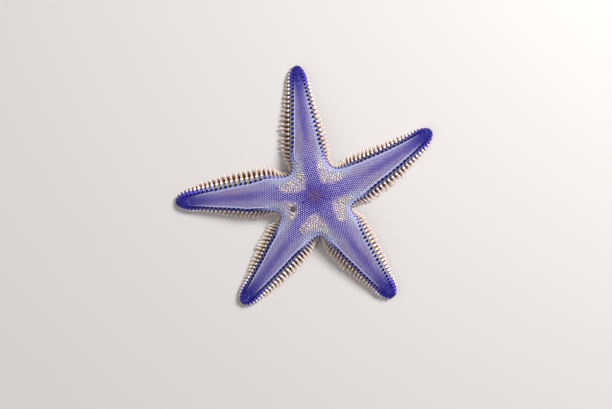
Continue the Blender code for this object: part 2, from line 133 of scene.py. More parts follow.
def lengths_along(points):
    return np.append(0.0, np.cumsum(np.linalg.norm(np.diff(points, axis=0), axis=1)))


def at_length(wanted, lengths, points):
    """Level points at these lengths along a line of points."""
    return np.stack([np.interp(wanted, lengths, points[:, axis]) for axis in (0, 1)], -1)


# %% The arm's axis, its width and the notches
def arm_axis(arm, share):
    """Points of an arm's axis at shares of its length, from the disc's centre."""
    start, turn = math.radians(arm.azimuth), math.radians(arm.turn)
    end = start + turn * np.asarray(share, float)
    x, y = np.sin(end) - math.sin(start), math.cos(start) - np.cos(end)
    return arm.length / turn * np.stack([x, y], -1)


def arm_left(arm, share):
    return turned(np.radians(arm.azimuth + arm.turn * np.asarray(share, float) + 90))


def half_width(arm, share):
    along = (share - WIDTH_ROOT_AT) / (ROUND_FROM - WIDTH_ROOT_AT)
    straight = HALF_WIDTH_ROOT + (HALF_WIDTH_ROUND - HALF_WIDTH_ROOT) * along
    bent = HALF_WIDTH_ROUND * np.sqrt(1 - ramp(share, ROUND_FROM, ROUND_FROM + ROUND_SPAN) ** 2)
    return arm.girth * np.where(share <= ROUND_FROM, straight, bent)


def arm_edge(arm, side, share):
    return arm_axis(arm, share) + side * half_width(arm, share)[..., None] * arm_left(arm, share)


def notch_of(index, side):
    """The number of the notch beside an arm. Notch 0 lies between arms 0 and 1."""
    return index if side > 0 else index - 1


def notch_direction(notch):
    first, following = ARMS[notch].azimuth, ARMS[(notch + 1) % len(ARMS)].azimuth
    return turned(math.radians(first + ((following - first) % 360) / 2))


def margin_points(index, side):
    """One side of an arm, from the middle of its notch: points, lengths, and the tip plate's."""
    arm, notch = ARMS[index], notch_of(index, side)
    outward = notch_direction(notch)
    start, start_way = outward * NOTCH_RADII[notch], -side * leftward(outward)
    end = arm_edge(arm, side, STRAIGHT_FROM)
    end_way = unit(arm_edge(arm, side, STRAIGHT_FROM + 0.01) - end)
    reach = np.linalg.norm(end - start)
    u = (np.arange(MARGIN_STEPS) / MARGIN_STEPS)[:, None]
    curve = (2 * u**3 - 3 * u**2 + 1) * start + (u**3 - 2 * u**2 + u) * reach * start_way
    curve = curve + (3 * u**2 - 2 * u**3) * end + (u**3 - u**2) * reach * end_way
    shares = np.linspace(STRAIGHT_FROM, TIP_PLATE_FROM, MARGIN_STEPS + 1)
    rounding = np.sin(np.linspace(0, math.pi / 2, ROUND_STEPS))[1:]
    round_tip = TIP_PLATE_FROM + (ROUND_TIP_TO - TIP_PLATE_FROM) * rounding
    points = np.concatenate([curve, arm_edge(arm, side, shares), arm_edge(arm, side, round_tip)])
    lengths = lengths_along(points)
    return points, lengths, lengths[2 * MARGIN_STEPS]


MARGINS = {place: margin_points(*place) for place in SIDES}


def share_along(share):
    """The share of a side's length for a share of its count of plates, which fall in size."""
    return share * (1 + PITCH_FALL - PITCH_FALL * share)


def margin_at(index, side, plate):
    """Points of the outer edge of one side of an arm, at counts of plates from the notch.
    The solids have 25 plates, and here a few more run on round the tip."""
    points, lengths, full = MARGINS[index, side]
    plate = np.asarray(plate, float)
    along = full * share_along(np.minimum(plate, PLATES) / PLATES)
    return at_length(along + TIP_PITCH * np.maximum(plate - PLATES, 0), lengths, points)


print("lengths of the sides mm", [round(1000 * full, 1) for _, _, full in MARGINS.values()])

# %% Where the plates sit
# The real plates are small in the notches, largest a third of the way out and small again at
# the tip: how far apart they are, against their mean, at shares of the margin
PITCH_SHARES = (0.0, 0.12, 0.26, 0.50, 0.68, 0.86, 1.0)
PITCH_SIZES = (0.70, 0.86, 1.14, 1.22, 1.13, 0.98, 0.88)
ROW_PLATES = 27


def plate_places():
    """Middles and half-lengths of the plates of a row, by the solids' count of plates."""
    share = np.linspace(0, 1, 2001)
    number = np.cumsum(1 / np.interp(share, PITCH_SHARES, PITCH_SIZES))
    number = (number - number[0]) / (number[-1] - number[0]) * PLATES
    steady = np.interp(share, share_along(share), share * PLATES)
    ends = np.interp(np.arange(PLATES + 1), number, steady)
    ends = np.append(ends, np.arange(PLATES + 1, ROW_PLATES + 1))
    return (ends[1:] + ends[:-1]) / 2, np.diff(ends) / 2


MIDDLES, HALVES = plate_places()
NUMBERS = np.arange(ROW_PLATES)
print("plates at", MIDDLES.round(1))

# %% [markdown]
# ## The surface as two sheets
# The back is one sheet from the disc's centre to each tip. The side is another, down from the
# back's edge over the upper plates, the seam and the lower plates, and under the arm as far as
# the furrow. Two functions give any point of them, for whole arrays of places at once. Pieces
# that are made in these terms bend with the arm by themselves.

# %% An arm's cross-sections
Section = namedtuple("Section", "left right middle across half height lean flank back scale")


def section_at(index, plate):
    """The measures of an arm's cross-sections at counts of plates from the notch."""
    left, right = margin_at(index, 1, plate), margin_at(index, -1, plate)
    half = np.linalg.norm(left - right, axis=-1) / 2
    scale = np.minimum(1.0, half / HALF_WIDTH_ROUND)
    share = np.minimum(np.asarray(plate) / PLATES, 1)
    height = DISC_HEIGHT + (TIP_HEIGHT - DISC_HEIGHT) * share**HEIGHT_POWER
    height = height - TIP_DROP * ramp(plate, PLATES, TIP_ROWS_END) ** 2
    swing = ramp(plate, DISC_PLATES, LEAN_FULL_AT)
    swing = swing - (1 - LEAN_AT_TIP) * ramp(plate, LEAN_FALLS_FROM, PLATES)
    lean, flank = ARMS[index].lean * swing * scale, np.minimum(FLANK, FLANK_OF_WIDTH * half)
    middle, across = (left + right) / 2, (left - right) / (2 * half[..., None])
    return Section(left, right, middle, across, half, height, lean, flank, half - flank, scale)


def inward_at(section, index, side, plate):
    """Level directions from the edge into the arm. At a notch they point to the disc's centre."""
    blend = ramp(plate, 0, DISC_PLATES)[..., None]
    outward = notch_direction(notch_of(index, side))
    return unit((1 - blend) * -outward - blend * side * section.across)


# %% Points of the side and of the back
# The rows down a side: edge, crest, seam, rim, sole and under, by share of the flank's width,
# by millimetres inward and by share of the height
ROWS_DOWN = (0.0, 0.30, 0.55, 0.75, 1.0, 1.25)
OF_FLANK = (1.0, 0.34, 0.0, 0.0, 0.0, 0.0)
INWARD = (0.0, 0.0, 0.30, 0.0, 0.5, 2.4)
OF_HEIGHT = (0.86, 0.73, 0.46, 0.32, 0.0, 0.0)
UNDER_FROM, UNDER, LIP_DOWN = 1.2, ROWS_DOWN[-1], 2.0
TABLE_STEPS, ROUNDING = 400, 0.09


def down_table(values):
    """A row's values with their corners rounded, at many places down the side."""
    places = np.linspace(0, LIP_DOWN, TABLE_STEPS + 1)
    kernel = np.hanning(int(ROUNDING * TABLE_STEPS) | 1)
    raw = np.interp(places, ROWS_DOWN, values)
    padded = np.pad(raw, len(kernel) // 2, mode="edge")
    return places, np.convolve(padded, kernel / kernel.sum(), "valid")


TABLES = [down_table(values) for values in (OF_FLANK, INWARD, OF_HEIGHT)]
EDGE_HEIGHT = TABLES[2][1][0]


def side_points(index, side, plate, down):
    """Points of an arm's side. Down is 0 at the back's edge, 1 on the sole and 2 at the furrow."""
    plate, down = np.broadcast_arrays(np.asarray(plate, float), np.asarray(down, float))
    section = section_at(index, np.clip(plate, 0, TIP_ROWS_END))
    capped = np.minimum(down, UNDER)
    of_flank, millimetres, of_height = (np.interp(capped, *table) for table in TABLES)
    distance = section.flank * of_flank + section.scale * MM * millimetres
    edge = section.left if side > 0 else section.right
    xy = edge + inward_at(section, index, side, plate) * distance[..., None]
    xy = xy + section.across * (section.lean * of_height)[..., None]
    lip = section.middle + section.across * (side * FURROW_HALF * section.scale)[..., None]
    xy = xy + (lip - xy) * ramp(down, UNDER, LIP_DOWN)[..., None]
    return raised(xy, section.height * of_height * (down < UNDER_FROM))


def back_points(index, plate, across):
    """Points of the back. Plate is -1 at the disc's centre and 0 at the notches, and across runs
    from -1 to 1."""
    plate, across = np.broadcast_arrays(np.asarray(plate, float), np.asarray(across, float))
    place = np.clip(plate, 0, TIP_ROWS_END)
    section = section_at(index, place)
    middle = section.middle + section.across * section.lean[..., None]
    left, right = (side_points(index, side, place, 0.0)[..., :2] for side in (1, -1))
    edge = np.where(across[..., None] > 0, left, right)
    z = section.height * (1 - (1 - EDGE_HEIGHT) * across**2)
    inner = np.clip(plate + 1, 0, 1)
    xy = (middle + np.abs(across)[..., None] * (edge - middle)) * inner[..., None]
    return raised(xy, DISC_CROWN - (DISC_CROWN - z) * inner**1.5)


def level_back(index, plate, across):
    return back_points(index, plate, across)[..., :2]


STEP = 0.02


def frame_of(surface, plate, place):
    """For places on a sheet: the point, and unit vectors along the arm, across and outward."""
    along = unit(surface(plate + STEP, place) - surface(plate - STEP, place))
    across = surface(plate, place + STEP) - surface(plate, place - STEP)
    out = unit(np.cross(along, across))
    return surface(plate, place), along, np.cross(out, along), out


def side_frame(index, side, plate, down):
    """The same on a side, where across points down the side and out points away from the body."""
    point, along, across, out = frame_of(partial(side_points, index, side), plate, down)
    return point, along, across, out * side


print("outward at a flank", side_frame(0, 1, np.full(1, 10.0), np.full(1, 0.7))[3].round(2))

# %% [markdown]
# ## From a bmesh to a piece
# A finished piece has its object at the origin and its place in its mesh, and rides on the one
# body. A small form that is repeated many times is made once with bmesh operators and read into
# arrays, and the copies are then placed with array sums and joined into one mesh. Instances
# would be lighter, but the export drops them.

# %% Finish a piece
SAME_PLACE = 0.004 * MM


def finished(name, data, *materials):
    """An object of a mesh that is in place, riding on the body, with smooth faces."""
    for material in materials:
        data.materials.append(material)
    data.shade_smooth()
    thing = bpy.data.objects.new(name, data)
    bpy.context.scene.collection.objects.link(thing)
    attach(thing, "root")
    print(name, sum(len(face.vertices) - 2 for face in data.polygons), "triangles")
    return thing


def finished_bmesh(name, mesh, *materials):
    """The same from a bmesh that is centred on the disc."""
    bmesh.ops.recalc_face_normals(mesh, faces=mesh.faces)
    bmesh.ops.translate(mesh, verts=mesh.verts, vec=DISC_CENTRE)
    data = bpy.data.meshes.new(name)
    mesh.to_mesh(data)
    mesh.free()
    return finished(name, data, *materials)


# %% Small forms
Form = namedtuple("Form", "points loops counts marks")


def cone(segments, foot, top, height, low):
    """A bmesh with one upright cone, whose foot is at this height."""
    mesh = bmesh.new()
    bmesh.ops.create_cone(
        mesh, cap_ends=True, segments=segments, radius1=foot, radius2=top, depth=height
    )
    bmesh.ops.translate(mesh, verts=mesh.verts, vec=(0, 0, low + height / 2))
    return mesh


def hanging_cube():
    """A bmesh with one cube, from 0 to 1 in Y and from 0 down to -1 in Z."""
    mesh = bmesh.new()
    bmesh.ops.create_cube(mesh, size=1.0)
    bmesh.ops.translate(mesh, verts=mesh.verts, vec=(0, 0.5, -0.5))
    return mesh


def cut(mesh, way, places):
    """Cuts a form across at these places along a way."""
    for place in places:
        everything = [*mesh.verts, *mesh.edges, *mesh.faces]
        bmesh.ops.bisect_plane(mesh, geom=everything, plane_co=place * way, plane_no=way)


def form_of(mesh, **marks):
    """Reads a bmesh into arrays. A mark is a function of a vertex's place, kept as an attribute."""
    bmesh.ops.recalc_face_normals(mesh, faces=mesh.faces)
    mesh.verts.index_update()
    points = np.array([vertex.co[:] for vertex in mesh.verts])
    loops = np.array([vertex.index for face in mesh.faces for vertex in face.verts])
    counts = np.array([len(face.verts) for face in mesh.faces])
    mesh.free()
    return Form(points, loops, counts, {name: mark(points) for name, mark in marks.items()})


def placed(form, origin, x_axis, y_axis, z_axis, size):
    """Copies of a form on axes of their own. Size is three scales for each copy."""
    local = form.points[None, :, :] * size[:, None, :]
    axes = np.stack([x_axis, y_axis, z_axis], 1)
    return origin[:, None, :] + np.einsum("knj,kji->kni", local, axes)


# %% Heaps of small forms
class Heap:
    """Copies of small forms that end as one joined mesh."""

    def __init__(self):
        self.points, self.loops, self.counts, self.uvs, self.marks = [], [], [], [], {}
        self.used = 0

    def add(self, form, points, spot, patch, flat=None, **marks):
        """Adds copies. Points has a row of vertices for each copy, spot the middle of each copy's
        patch on the map for baking, patch its size, and flat each vertex's place within it."""
        copies, size = points.shape[:2]
        offsets = self.used + size * np.arange(copies)[:, None]
        if flat is None:
            flat = form.points[:, :2]
            flat = (flat - flat.min(0)) / np.ptp(flat, axis=0) - 0.5
        places = spot[:, None, :] + (flat * patch)[None, :, :]
        self.points.append(points.reshape(-1, 3))
        self.loops.append((form.loops[None, :] + offsets).ravel())
        self.counts.append(np.tile(form.counts, copies))
        self.uvs.append(places[:, form.loops].reshape(-1, 2))
        values = {name: np.tile(value, copies) for name, value in form.marks.items()}
        for name, value in marks.items():
            values[name] = np.repeat(np.broadcast_to(value, copies), size)
        for name, value in values.items():
            self.marks.setdefault(name, []).append(value)
        self.used += copies * size

    def piece(self, name, *materials):
        points, counts = np.concatenate(self.points), np.concatenate(self.counts)
        # A few knobs and spines at the tips would stand 0.2 mm beyond the solids
        points = np.clip(points + DISC_CENTRE, cad_low, cad_high)
        data = bpy.data.meshes.new(name)
        data.vertices.add(len(points))
        data.vertices.foreach_set("co", points.astype(np.float32).ravel())
        data.loops.add(int(counts.sum()))
        data.loops.foreach_set("vertex_index", np.concatenate(self.loops).astype(np.int32))
        data.polygons.add(len(counts))
        data.polygons.foreach_set("loop_start", (np.cumsum(counts) - counts).astype(np.int32))
        data.update(calc_edges=True)
        data.validate()
        bake = data.uv_layers.new(name="OFBake")
        bake.uv.foreach_set("vector", np.concatenate(self.uvs).astype(np.float32).ravel())
        for mark, values in self.marks.items():
            attribute = data.attributes.new(mark, "FLOAT", "POINT")
            attribute.data.foreach_set("value", np.concatenate(values).astype(np.float32))
        return finished(name, data, *materials)


def spots(column, count, columns=len(SIDES)):
    """Middles of patches on the map for baking: one column of them, with this many in it."""
    high = (np.arange(count) + 0.5) / count
    return np.stack([np.full(count, (column + 0.5) / columns), high], -1)


# %% [markdown]
# ## Colours
# The animal's colours are few: violet and lavender on the back, cream in the corners of the
# disc, deep blue at the tips, white and navy on the plates. They are written as the hex values
# that a paint program shows, and one function turns them to the linear values that Blender
# mixes. Nodes could be joined one by one, but one function that adds a node with its settings
# and links lets a material be read like a sum.

# %% Nodes and materials
def linear(code):
    """A Blender colour from an sRGB hex code such as #8C86B4."""
    channels = [int(code[at : at + 2], 16) / 255 for at in (1, 3, 5)]
    return (*[c / 12.92 if c <= 0.04045 else ((c + 0.055) / 1.055) ** 2.4 for c in channels], 1.0)


def join(node, *values, **named):
    """Sets or links a node's inputs, in their order or by name. A word with a # is a colour, and
    any other word is the name of a mark that the mesh carries."""
    tree = node.id_data
    pairs = [*zip([socket for socket in node.inputs if socket.enabled], values)]
    pairs += [(node.inputs[name.replace("_", " ")], value) for name, value in named.items()]
    for socket, value in pairs:
        if isinstance(value, str) and value.startswith("#"):
            value = linear(value)
        elif isinstance(value, str):
            carrier = tree.nodes.new("ShaderNodeAttribute")
            carrier.attribute_name = value
            value = carrier.outputs["Fac"]
        if isinstance(value, bpy.types.NodeSocket):
            tree.links.new(value, socket)
        else:
            socket.default_value = value


def add(tree, kind, *values, **named):
    """Adds a node with its settings and links, and gives its result. Textures lie on the object."""
    word, settings = kind
    node = tree.nodes.new("ShaderNode" + word)
    for name, value in settings.items():
        setattr(node, name, value)
    if word.startswith("Tex"):
        named["Vector"] = tree.nodes.new("ShaderNodeTexCoord").outputs["Object"]
    join(node, *values, **named)
    return next(output for output in node.outputs if output.enabled)


BLEND, RISE = ("Mix", {"data_type": "RGBA"}), ("MapRange", {"interpolation_type": "SMOOTHSTEP"})
TIMES, PLUS, LARGER, TIMES_PLUS = (
    ("Math", {"operation": word}) for word in ("MULTIPLY", "ADD", "MAXIMUM", "MULTIPLY_ADD")
)
NOISE, CELLS, EVEN_RISE, BUMP = (
    (word, {}) for word in ("TexNoise", "TexVoronoi", "MapRange", "Bump")
)
SHINE = 0.08


def new_material(name, roughness):
    """A material, its Principled node, and the function that adds a node to its tree."""
    material = bpy.data.materials.new(name)
    material.use_nodes = True
    shader = material.node_tree.nodes["Principled BSDF"]
    join(shader, Roughness=roughness, Specular_IOR_Level=SHINE)
    return material, shader, partial(add, material.node_tree)


def granules(node, spacing, height):
    """Bumps like fine granules that crowd one another, this far apart and high, in metres."""
    rise = node(EVEN_RISE, node(CELLS, Scale=1 / spacing), 0.0, 0.6, 1.0, 0.0)
    return node(BUMP, 0.8, height, Height=rise)


# %% [markdown]
# ## The markings
# Skin and paxillae wear the same markings, so one function draws them for both. It reads a few
# values that each mesh carries: the share of the arm's length from the centre, the distance in
# millimetres from the arm's midline and from the plates, and how far a place is in the cream
# corner of the disc. Painting an image would be another way, but these bands follow the arms.

# %% One function for the markings
TIP_BLUE, TIP_PALE = "#322C92", "#6C6CC8"
MIDLINE, DISC_VIOLET = "#6052A8", "#5343A4"
LAVENDER, PINKISH, PALE_LINE = "#A098C6", "#A294B8", "#D2D4F6"
CORNER, NOTCH_PALE, CENTRE_BROWN = "#B7A4BC", "#B4B8D2", "#6C5088"


def markings(node):
    """The colour of the back at a place, and how blue and how near a tip that place is."""
    wander = node(TIMES_PLUS, node(NOISE, Scale=1 / (5 * MM)), 1.6, -0.8)
    wavy = node(PLUS, "midline", wander)
    arm_band = node(TIMES, node(RISE, wavy, 2.7, 0.2), 0.85)
    disc_band = node(TIMES, node(RISE, wavy, 3.6, 1.9), node(RISE, "reach", 0.50, 0.18))
    far = node(TIMES, node(RISE, "reach", 0.45, 0.88), 0.6)
    blue = node(LARGER, node(LARGER, arm_band, disc_band), node(RISE, "reach", 0.19, 0.10))
    blue = node(LARGER, blue, far)
    violet = node(BLEND, node(RISE, "reach", 0.42, 0.22), MIDLINE, DISC_VIOLET)
    pink = node(RISE, node(NOISE, Scale=1 / (11 * MM)), 0.48, 0.66)
    colour = node(BLEND, blue, node(BLEND, pink, LAVENDER, PINKISH), violet)
    ragged = node(TIMES_PLUS, node(NOISE, Scale=1 / (1.8 * MM)), 1.2, -0.6)
    cream = node(TIMES, node(RISE, node(PLUS, "cream", ragged), 0.1, 0.9), 0.85)
    colour = node(BLEND, "notch", node(BLEND, cream, colour, CORNER), NOTCH_PALE)
    blots = node(RISE, node(NOISE, Scale=1 / (1.3 * MM)), 0.5, 0.8)
    tip = node(RISE, "reach", 0.70, 0.95)
    colour = node(BLEND, node(TIMES, tip, 0.97), colour, node(BLEND, blots, TIP_BLUE, TIP_PALE))
    line = node(TIMES, node(RISE, "rim", 0.95, 0.45), node(RISE, "reach", 0.28, 0.42))
    line = node(TIMES, line, node(RISE, "reach", 0.92, 0.66))
    colour = node(BLEND, node(TIMES, line, 0.95), colour, PALE_LINE)
    return node(BLEND, node(RISE, "reach", 0.072, 0.02), colour, CENTRE_BROWN), blue, tip


# %% The cream fans and the pale notches
# In front of each notch the paxillae stand in lines that fan out from a place behind the notch.
FAN_BEHIND = 5.0 * MM
FAN_ANGLES = (0.78, 0.45, 0.60, 0.62, 0.70)
FAN_TURNS = np.radians((8.0, 0.0, -8.0, -5.0, 0.0))
FAN_RADII = ((5.2, 10.9), (8.2, 11.8), (7.2, 12.4), (7.4, 12.1), (6.2, 10.9))
FAN_END_DEPTH, FAN_SOFT, FAN_SOFT_OUT = 1.2 * MM, 1.2 * MM, 3.0 * MM
FAN_EDGE = (1.15, 0.85)


def fan_axis(notch):
    """A fan's source, as a place, and the way from the disc's centre along the fan's middle."""
    x, y = notch_direction(notch)
    outward = turned(math.atan2(y, x) + FAN_TURNS[notch])
    return outward * (NOTCH_RADII[notch] + FAN_BEHIND), outward


def fan_limits(notch, share):
    """How near to and far from its source a fan reaches, at shares of its angle."""
    source = NOTCH_RADII[notch] + FAN_BEHIND
    inner, outer = FAN_RADII[notch]
    share = np.abs(share)
    near = source - outer * MM
    return near, (source - inner * MM) * (1 - share) + (near + FAN_END_DEPTH) * share


def fan_share(notch, points):
    """1 inside a notch's fan and 0 outside it."""
    source, outward = fan_axis(notch)
    offset = source - points
    distance = np.linalg.norm(offset, axis=-1)
    share = np.abs(np.arctan2(offset @ leftward(outward), offset @ outward)) / FAN_ANGLES[notch]
    near, far = fan_limits(notch, np.minimum(share, 1.0))
    inside = ramp(distance, near - FAN_SOFT_OUT, near) * ramp(distance, far + FAN_SOFT, far)
    return inside * ramp(share, *FAN_EDGE)


print("fans from and to mm", FAN_RADII)

# %% [markdown]
# ## The skin
# The real skin is a leathery sheet over the plates, seen in the dark lines between paxillae, in
# the olive grooves between the side plates and in the furrows below. It could be sculpted or
# remeshed from the solids, but a sheet that knows its place on the arm can carry the markings.
# So flat grids are laid along the surface functions, their shared borders are merged, and the
# whole is drawn in by the depth of the coat, so that one closed skin lies inside the solids.

# %% The marks that skin and paxillae carry
COAT_DEPTH = 0.42 * MM
MARK_NAMES = ("reach", "midline", "rim", "cream", "notch", "down")
NOTCH_BAND, NOTCH_TO = 2.3, 5.0
FAR, TYPICAL_ARM = 9.0, 50 * MM
ON_SOLE, IN_FURROW = 1.6, 2.5


def back_marks(index, plate, across):
    """The values that the markings read, at places on the back."""
    points = level_back(index, plate, across)
    inner = np.clip(plate + 1, 0, 1)
    width = section_at(index, np.clip(plate, 0, TIP_ROWS_END)).back / MM
    rim = (1 - np.abs(across)) * width * inner + FAR * (1 - inner)
    return {
        "reach": np.linalg.norm(points, axis=-1) / ARMS[index].length,
        "midline": np.abs(across) * width * inner,
        "rim": rim,
        "cream": np.maximum(fan_share(index, points), fan_share(index - 1, points)),
        "notch": np.clip(1.25 - rim / NOTCH_BAND, 0, 1) * ramp(plate, NOTCH_TO, NOTCH_TO - 2),
        "down": np.zeros(len(points)),
    }


def below(points, down):
    """Points that the back's markings don't reach, with their marks."""
    down = np.broadcast_to(down, len(points))
    reach = np.linalg.norm(points[:, :2], axis=-1) / TYPICAL_ARM
    rim = np.where(down < 0.2, 0.0, FAR)
    return points, {"reach": reach, "midline": FAR + 0 * reach, "rim": rim, "down": down}


# %% The furrow and the underside of the disc
SKIN_ROWS, WEDGE_ROWS = 75, 16
BACK_COLUMNS, SIDE_COLUMNS, SOLE_COLUMNS, FURROW_COLUMNS = 20, 14, 3, 4
DISC_COLUMNS = 2 * SOLE_COLUMNS + FURROW_COLUMNS
JAW_RADIUS = 2.3 * MM
ROOF = FURROW_HEIGHT * DISC_HEIGHT


def furrow_points(index, plate, share):
    """Across the furrow, from the left lip over the vault to the right lip."""
    section = section_at(index, plate)
    stops = (0.0, 0.25, 0.5, 0.75, 1.0)
    across = np.interp(share, stops, (1.0, 0.62, 0.0, -0.62, -1.0)) * FURROW_HALF * section.scale
    z = np.interp(share, stops, (0.0, 1.0, 1.0, 1.0, 0.0)) * FURROW_HEIGHT * section.height
    return raised(section.middle + section.across * across[..., None], z)


def sole_of_disc(index, share, depth):
    """The underside of the disc, from the chord between two notches in to the jaws."""
    third = SOLE_COLUMNS / DISC_COLUMNS
    quarter = (1 - 2 * third) / 4
    plate = np.zeros(len(share))
    left = side_points(index, 1, plate, np.interp(share, (0, third), (UNDER, LIP_DOWN)))
    right = side_points(index, -1, plate, np.interp(share, (1 - third, 1), (LIP_DOWN, UNDER)))
    outer = furrow_points(index, plate, ramp(share, third, 1 - third))
    outer = np.where((share < third)[:, None], left, outer)
    outer = np.where((share > 1 - third)[:, None], right, outer)
    first, last = (np.append(notch_direction(at) * JAW_RADIUS, 0.0) for at in (index, index - 1))
    roof = np.array((0.0, 0.0, ROOF))
    stops = (0, third, third + quarter, 0.5, 1 - third - quarter, 1 - third, 1)
    rim = np.array((first, first, first + roof, roof, last + roof, last, last))
    inner = np.stack([np.interp(share, stops, rim[:, axis]) for axis in range(3)], -1)
    return inner + (outer - inner) * depth[:, None]


# %% Lay the grids
def add_sheet(mesh, columns, rows, place):
    """A grid whose vertices go where a function of two shares says, with the marks it gives."""
    made = bmesh.ops.create_grid(mesh, x_segments=columns, y_segments=rows, size=0.5)["verts"]
    flat = np.array([vertex.co[:2] for vertex in made]) + 0.5
    points, marks = place(*(np.round(flat * (columns, rows)) / (columns, rows)).T)
    for vertex, point in zip(made, points):
        vertex.co = point
    for name, values in marks.items():
        layer = mesh.verts.layers.float[name]
        for vertex, value in zip(made, values):
            vertex[layer] = value


skin_mesh = bmesh.new()
for name in MARK_NAMES:
    skin_mesh.verts.layers.float.new(name)
for index in range(len(ARMS)):
    for rows, start, end in ((SKIN_ROWS, 0.0, TIP_ROWS_END), (WEDGE_ROWS, -1.0, 0.0)):

        def back_sheet(u, v):
            place = index, start + (end - start) * v, 2 * u - 1
            return back_points(*place), back_marks(*place)

        add_sheet(skin_mesh, BACK_COLUMNS, rows, back_sheet)
    for side in (1, -1):
        for columns, start, end in ((SIDE_COLUMNS, 0.0, UNDER), (SOLE_COLUMNS, UNDER, LIP_DOWN)):

            def side_sheet(u, v):
                down = start + (end - start) * u
                return below(side_points(index, side, v * TIP_ROWS_END, down), down)

            add_sheet(skin_mesh, columns, SKIN_ROWS, side_sheet)

    def furrow_sheet(u, v):
        return below(furrow_points(index, v * TIP_ROWS_END, u), IN_FURROW)

    def disc_sheet(u, v):
        return below(sole_of_disc(index, u, v), ON_SOLE)

    add_sheet(skin_mesh, FURROW_COLUMNS, SKIN_ROWS, furrow_sheet)
    add_sheet(skin_mesh, DISC_COLUMNS, WEDGE_ROWS, disc_sheet)

# %% Close the skin and draw it in
TIP_BULGE = 0.6 * MM
DRAWN_AT, DRAWN_IN = (0.0, 0.12, 0.75, 1.0), (1.0, 0.5, 0.6, 1.0)
bmesh.ops.remove_doubles(skin_mesh, verts=skin_mesh.verts, dist=SAME_PLACE)
bmesh.ops.dissolve_degenerate(skin_mesh, edges=skin_mesh.edges, dist=SAME_PLACE)
open_edges = [edge for edge in skin_mesh.edges if edge.is_boundary]
print("open edges at the five tips", len(open_edges))
for face in bmesh.ops.holes_fill(skin_mesh, edges=open_edges, sides=0)["faces"]:
    out = Vector((*face.calc_center_median()[:2], 0.0)).normalized()
    bmesh.ops.poke(skin_mesh, faces=[face])["verts"][0].co += out * TIP_BULGE
bmesh.ops.recalc_face_normals(skin_mesh, faces=skin_mesh.faces)
skin_mesh.normal_update()
down_layer = skin_mesh.verts.layers.float["down"]
for vertex, normal in [(vertex, vertex.normal.copy()) for vertex in skin_mesh.verts]:
    vertex.co -= normal * np.interp(vertex[down_layer], DRAWN_AT, DRAWN_IN) * COAT_DEPTH
axes = {f"use_axis_{axis}": True for axis in "xyz"}
for _ in range(2):
    bmesh.ops.smooth_vert(skin_mesh, verts=skin_mesh.verts, factor=0.5, **axes)
print("open edges left", sum(not edge.is_manifold for edge in skin_mesh.edges))

# %% The skin's material: pigmented dermis
# Living dermis is wet leather with a fine grain: soft, not glossy. Where it lies deep under the
# coat its markings are darkened, as painted shade between the paxillae.
GROOVE_OLIVE, GROOVE_MAROON_AND_SHADE, UNDER_CREAM = "#9C9A3C", "#4E2A33", "#C9A98A"
dermis, shader, node = new_material("pigmented_dermis", 0.55)
# Painted shade: the back's markings darkened towards navy on the skin between the paxillae
deep = node(BLEND, 0.35, markings(node)[0], "#1D1B4A")
groove = node(BLEND, node(RISE, "reach", 0.44, 0.34), GROOVE_OLIVE, "#A8AACB")
# Lower on the side the grooves turn dark maroon, partly the skin's own colour and partly painted
# shade at the seam and under the spines
groove = node(BLEND, node(RISE, "down", 0.45, 0.72), groove, GROOVE_MAROON_AND_SHADE)
groove = node(BLEND, node(RISE, "reach", 0.74, 0.92), groove, "#5448C0")
edge_pale = node(BLEND, node(RISE, "reach", 0.80, 0.97), "#A4A2D8", "#6A60CC")
groove = node(BLEND, node(RISE, "down", 0.11, 0.20), edge_pale, groove)
colour = node(BLEND, node(RISE, "down", 0.07, 0.14), deep, groove)
colour = node(BLEND, node(RISE, "down", 0.95, 1.1), colour, UNDER_CREAM)
leather = node(NOISE, Scale=1 / (0.25 * MM), Detail=4.0)
join(shader, Base_Color=colour, Normal=node(BUMP, 0.35, 0.08 * MM, Height=leather))

skin = finished_bmesh("skin", skin_mesh, dermis)
flesh_nodes = [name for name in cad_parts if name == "disc" or name.startswith("arm_")]
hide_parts(*[name for name in flesh_nodes if not name.endswith("_tip")])

# %% [markdown]
# ## The coat of paxillae
# A paxilla is a short pillar with a crown of grains, like a tiny flower. Thousands stand side by
# side and make a velvet over the back. Bump alone would give the dots but no velvet edge, so
# each one is solid: a cone ring by ring, with its crown pulled into lobes.

# %% One crown in three forms, and a grain
CROWN_STEPS, CROWN_MIDDLE = ((-0.14, -0.02), (0.13, 0.14), (0.13, -0.07)), 0.10
PILLAR_FOOT, PILLAR_TOP, PILLAR_HEIGHT, PILLAR_LOW = 0.22, 0.34, 0.9, -0.1
LOBE_PULL, LOBE_RISE = 0.13, 0.05


def draw_in(mesh, steps):
    """Insets a form's top by steps of width and height, and gives it a middle vertex."""
    top = [max(mesh.faces, key=lambda face: face.calc_center_median().z)]
    for width, height in steps:
        bmesh.ops.inset_region(mesh, faces=top, thickness=width, depth=height, use_even_offset=True)
    return bmesh.ops.poke(mesh, faces=top)["verts"][0]


def crown(lobes, stretch=1.0):
    """A pillar with a lobed crown, 1 across and about 1 high, standing on the skin at z = 0."""
    mesh = cone(2 * lobes, PILLAR_FOOT, PILLAR_TOP, PILLAR_HEIGHT, PILLAR_LOW)
    draw_in(mesh, CROWN_STEPS).co.z += CROWN_MIDDLE
    bottom = min(mesh.faces, key=lambda face: face.calc_center_median().z)
    bmesh.ops.delete(mesh, geom=[bottom], context="FACES")
    for vertex in mesh.verts:
        radius = math.hypot(vertex.co.x, vertex.co.y)
        if vertex.co.z < 0.3 or radius < 0.05:
            continue
        lobe = math.cos(lobes * math.atan2(vertex.co.y, vertex.co.x))
        pull = 1 + LOBE_PULL * lobe * min(1.0, radius / 0.4)
        vertex.co.x *= pull
        vertex.co.y *= pull * stretch
        vertex.co.z += LOBE_RISE * lobe

    def middle(points):
        radius = np.hypot(points[:, 0], points[:, 1] / stretch)
        return np.clip(1 - radius / 0.5, 0, 1) * (points[:, 2] > 0.5)

    return form_of(mesh, crown=middle)


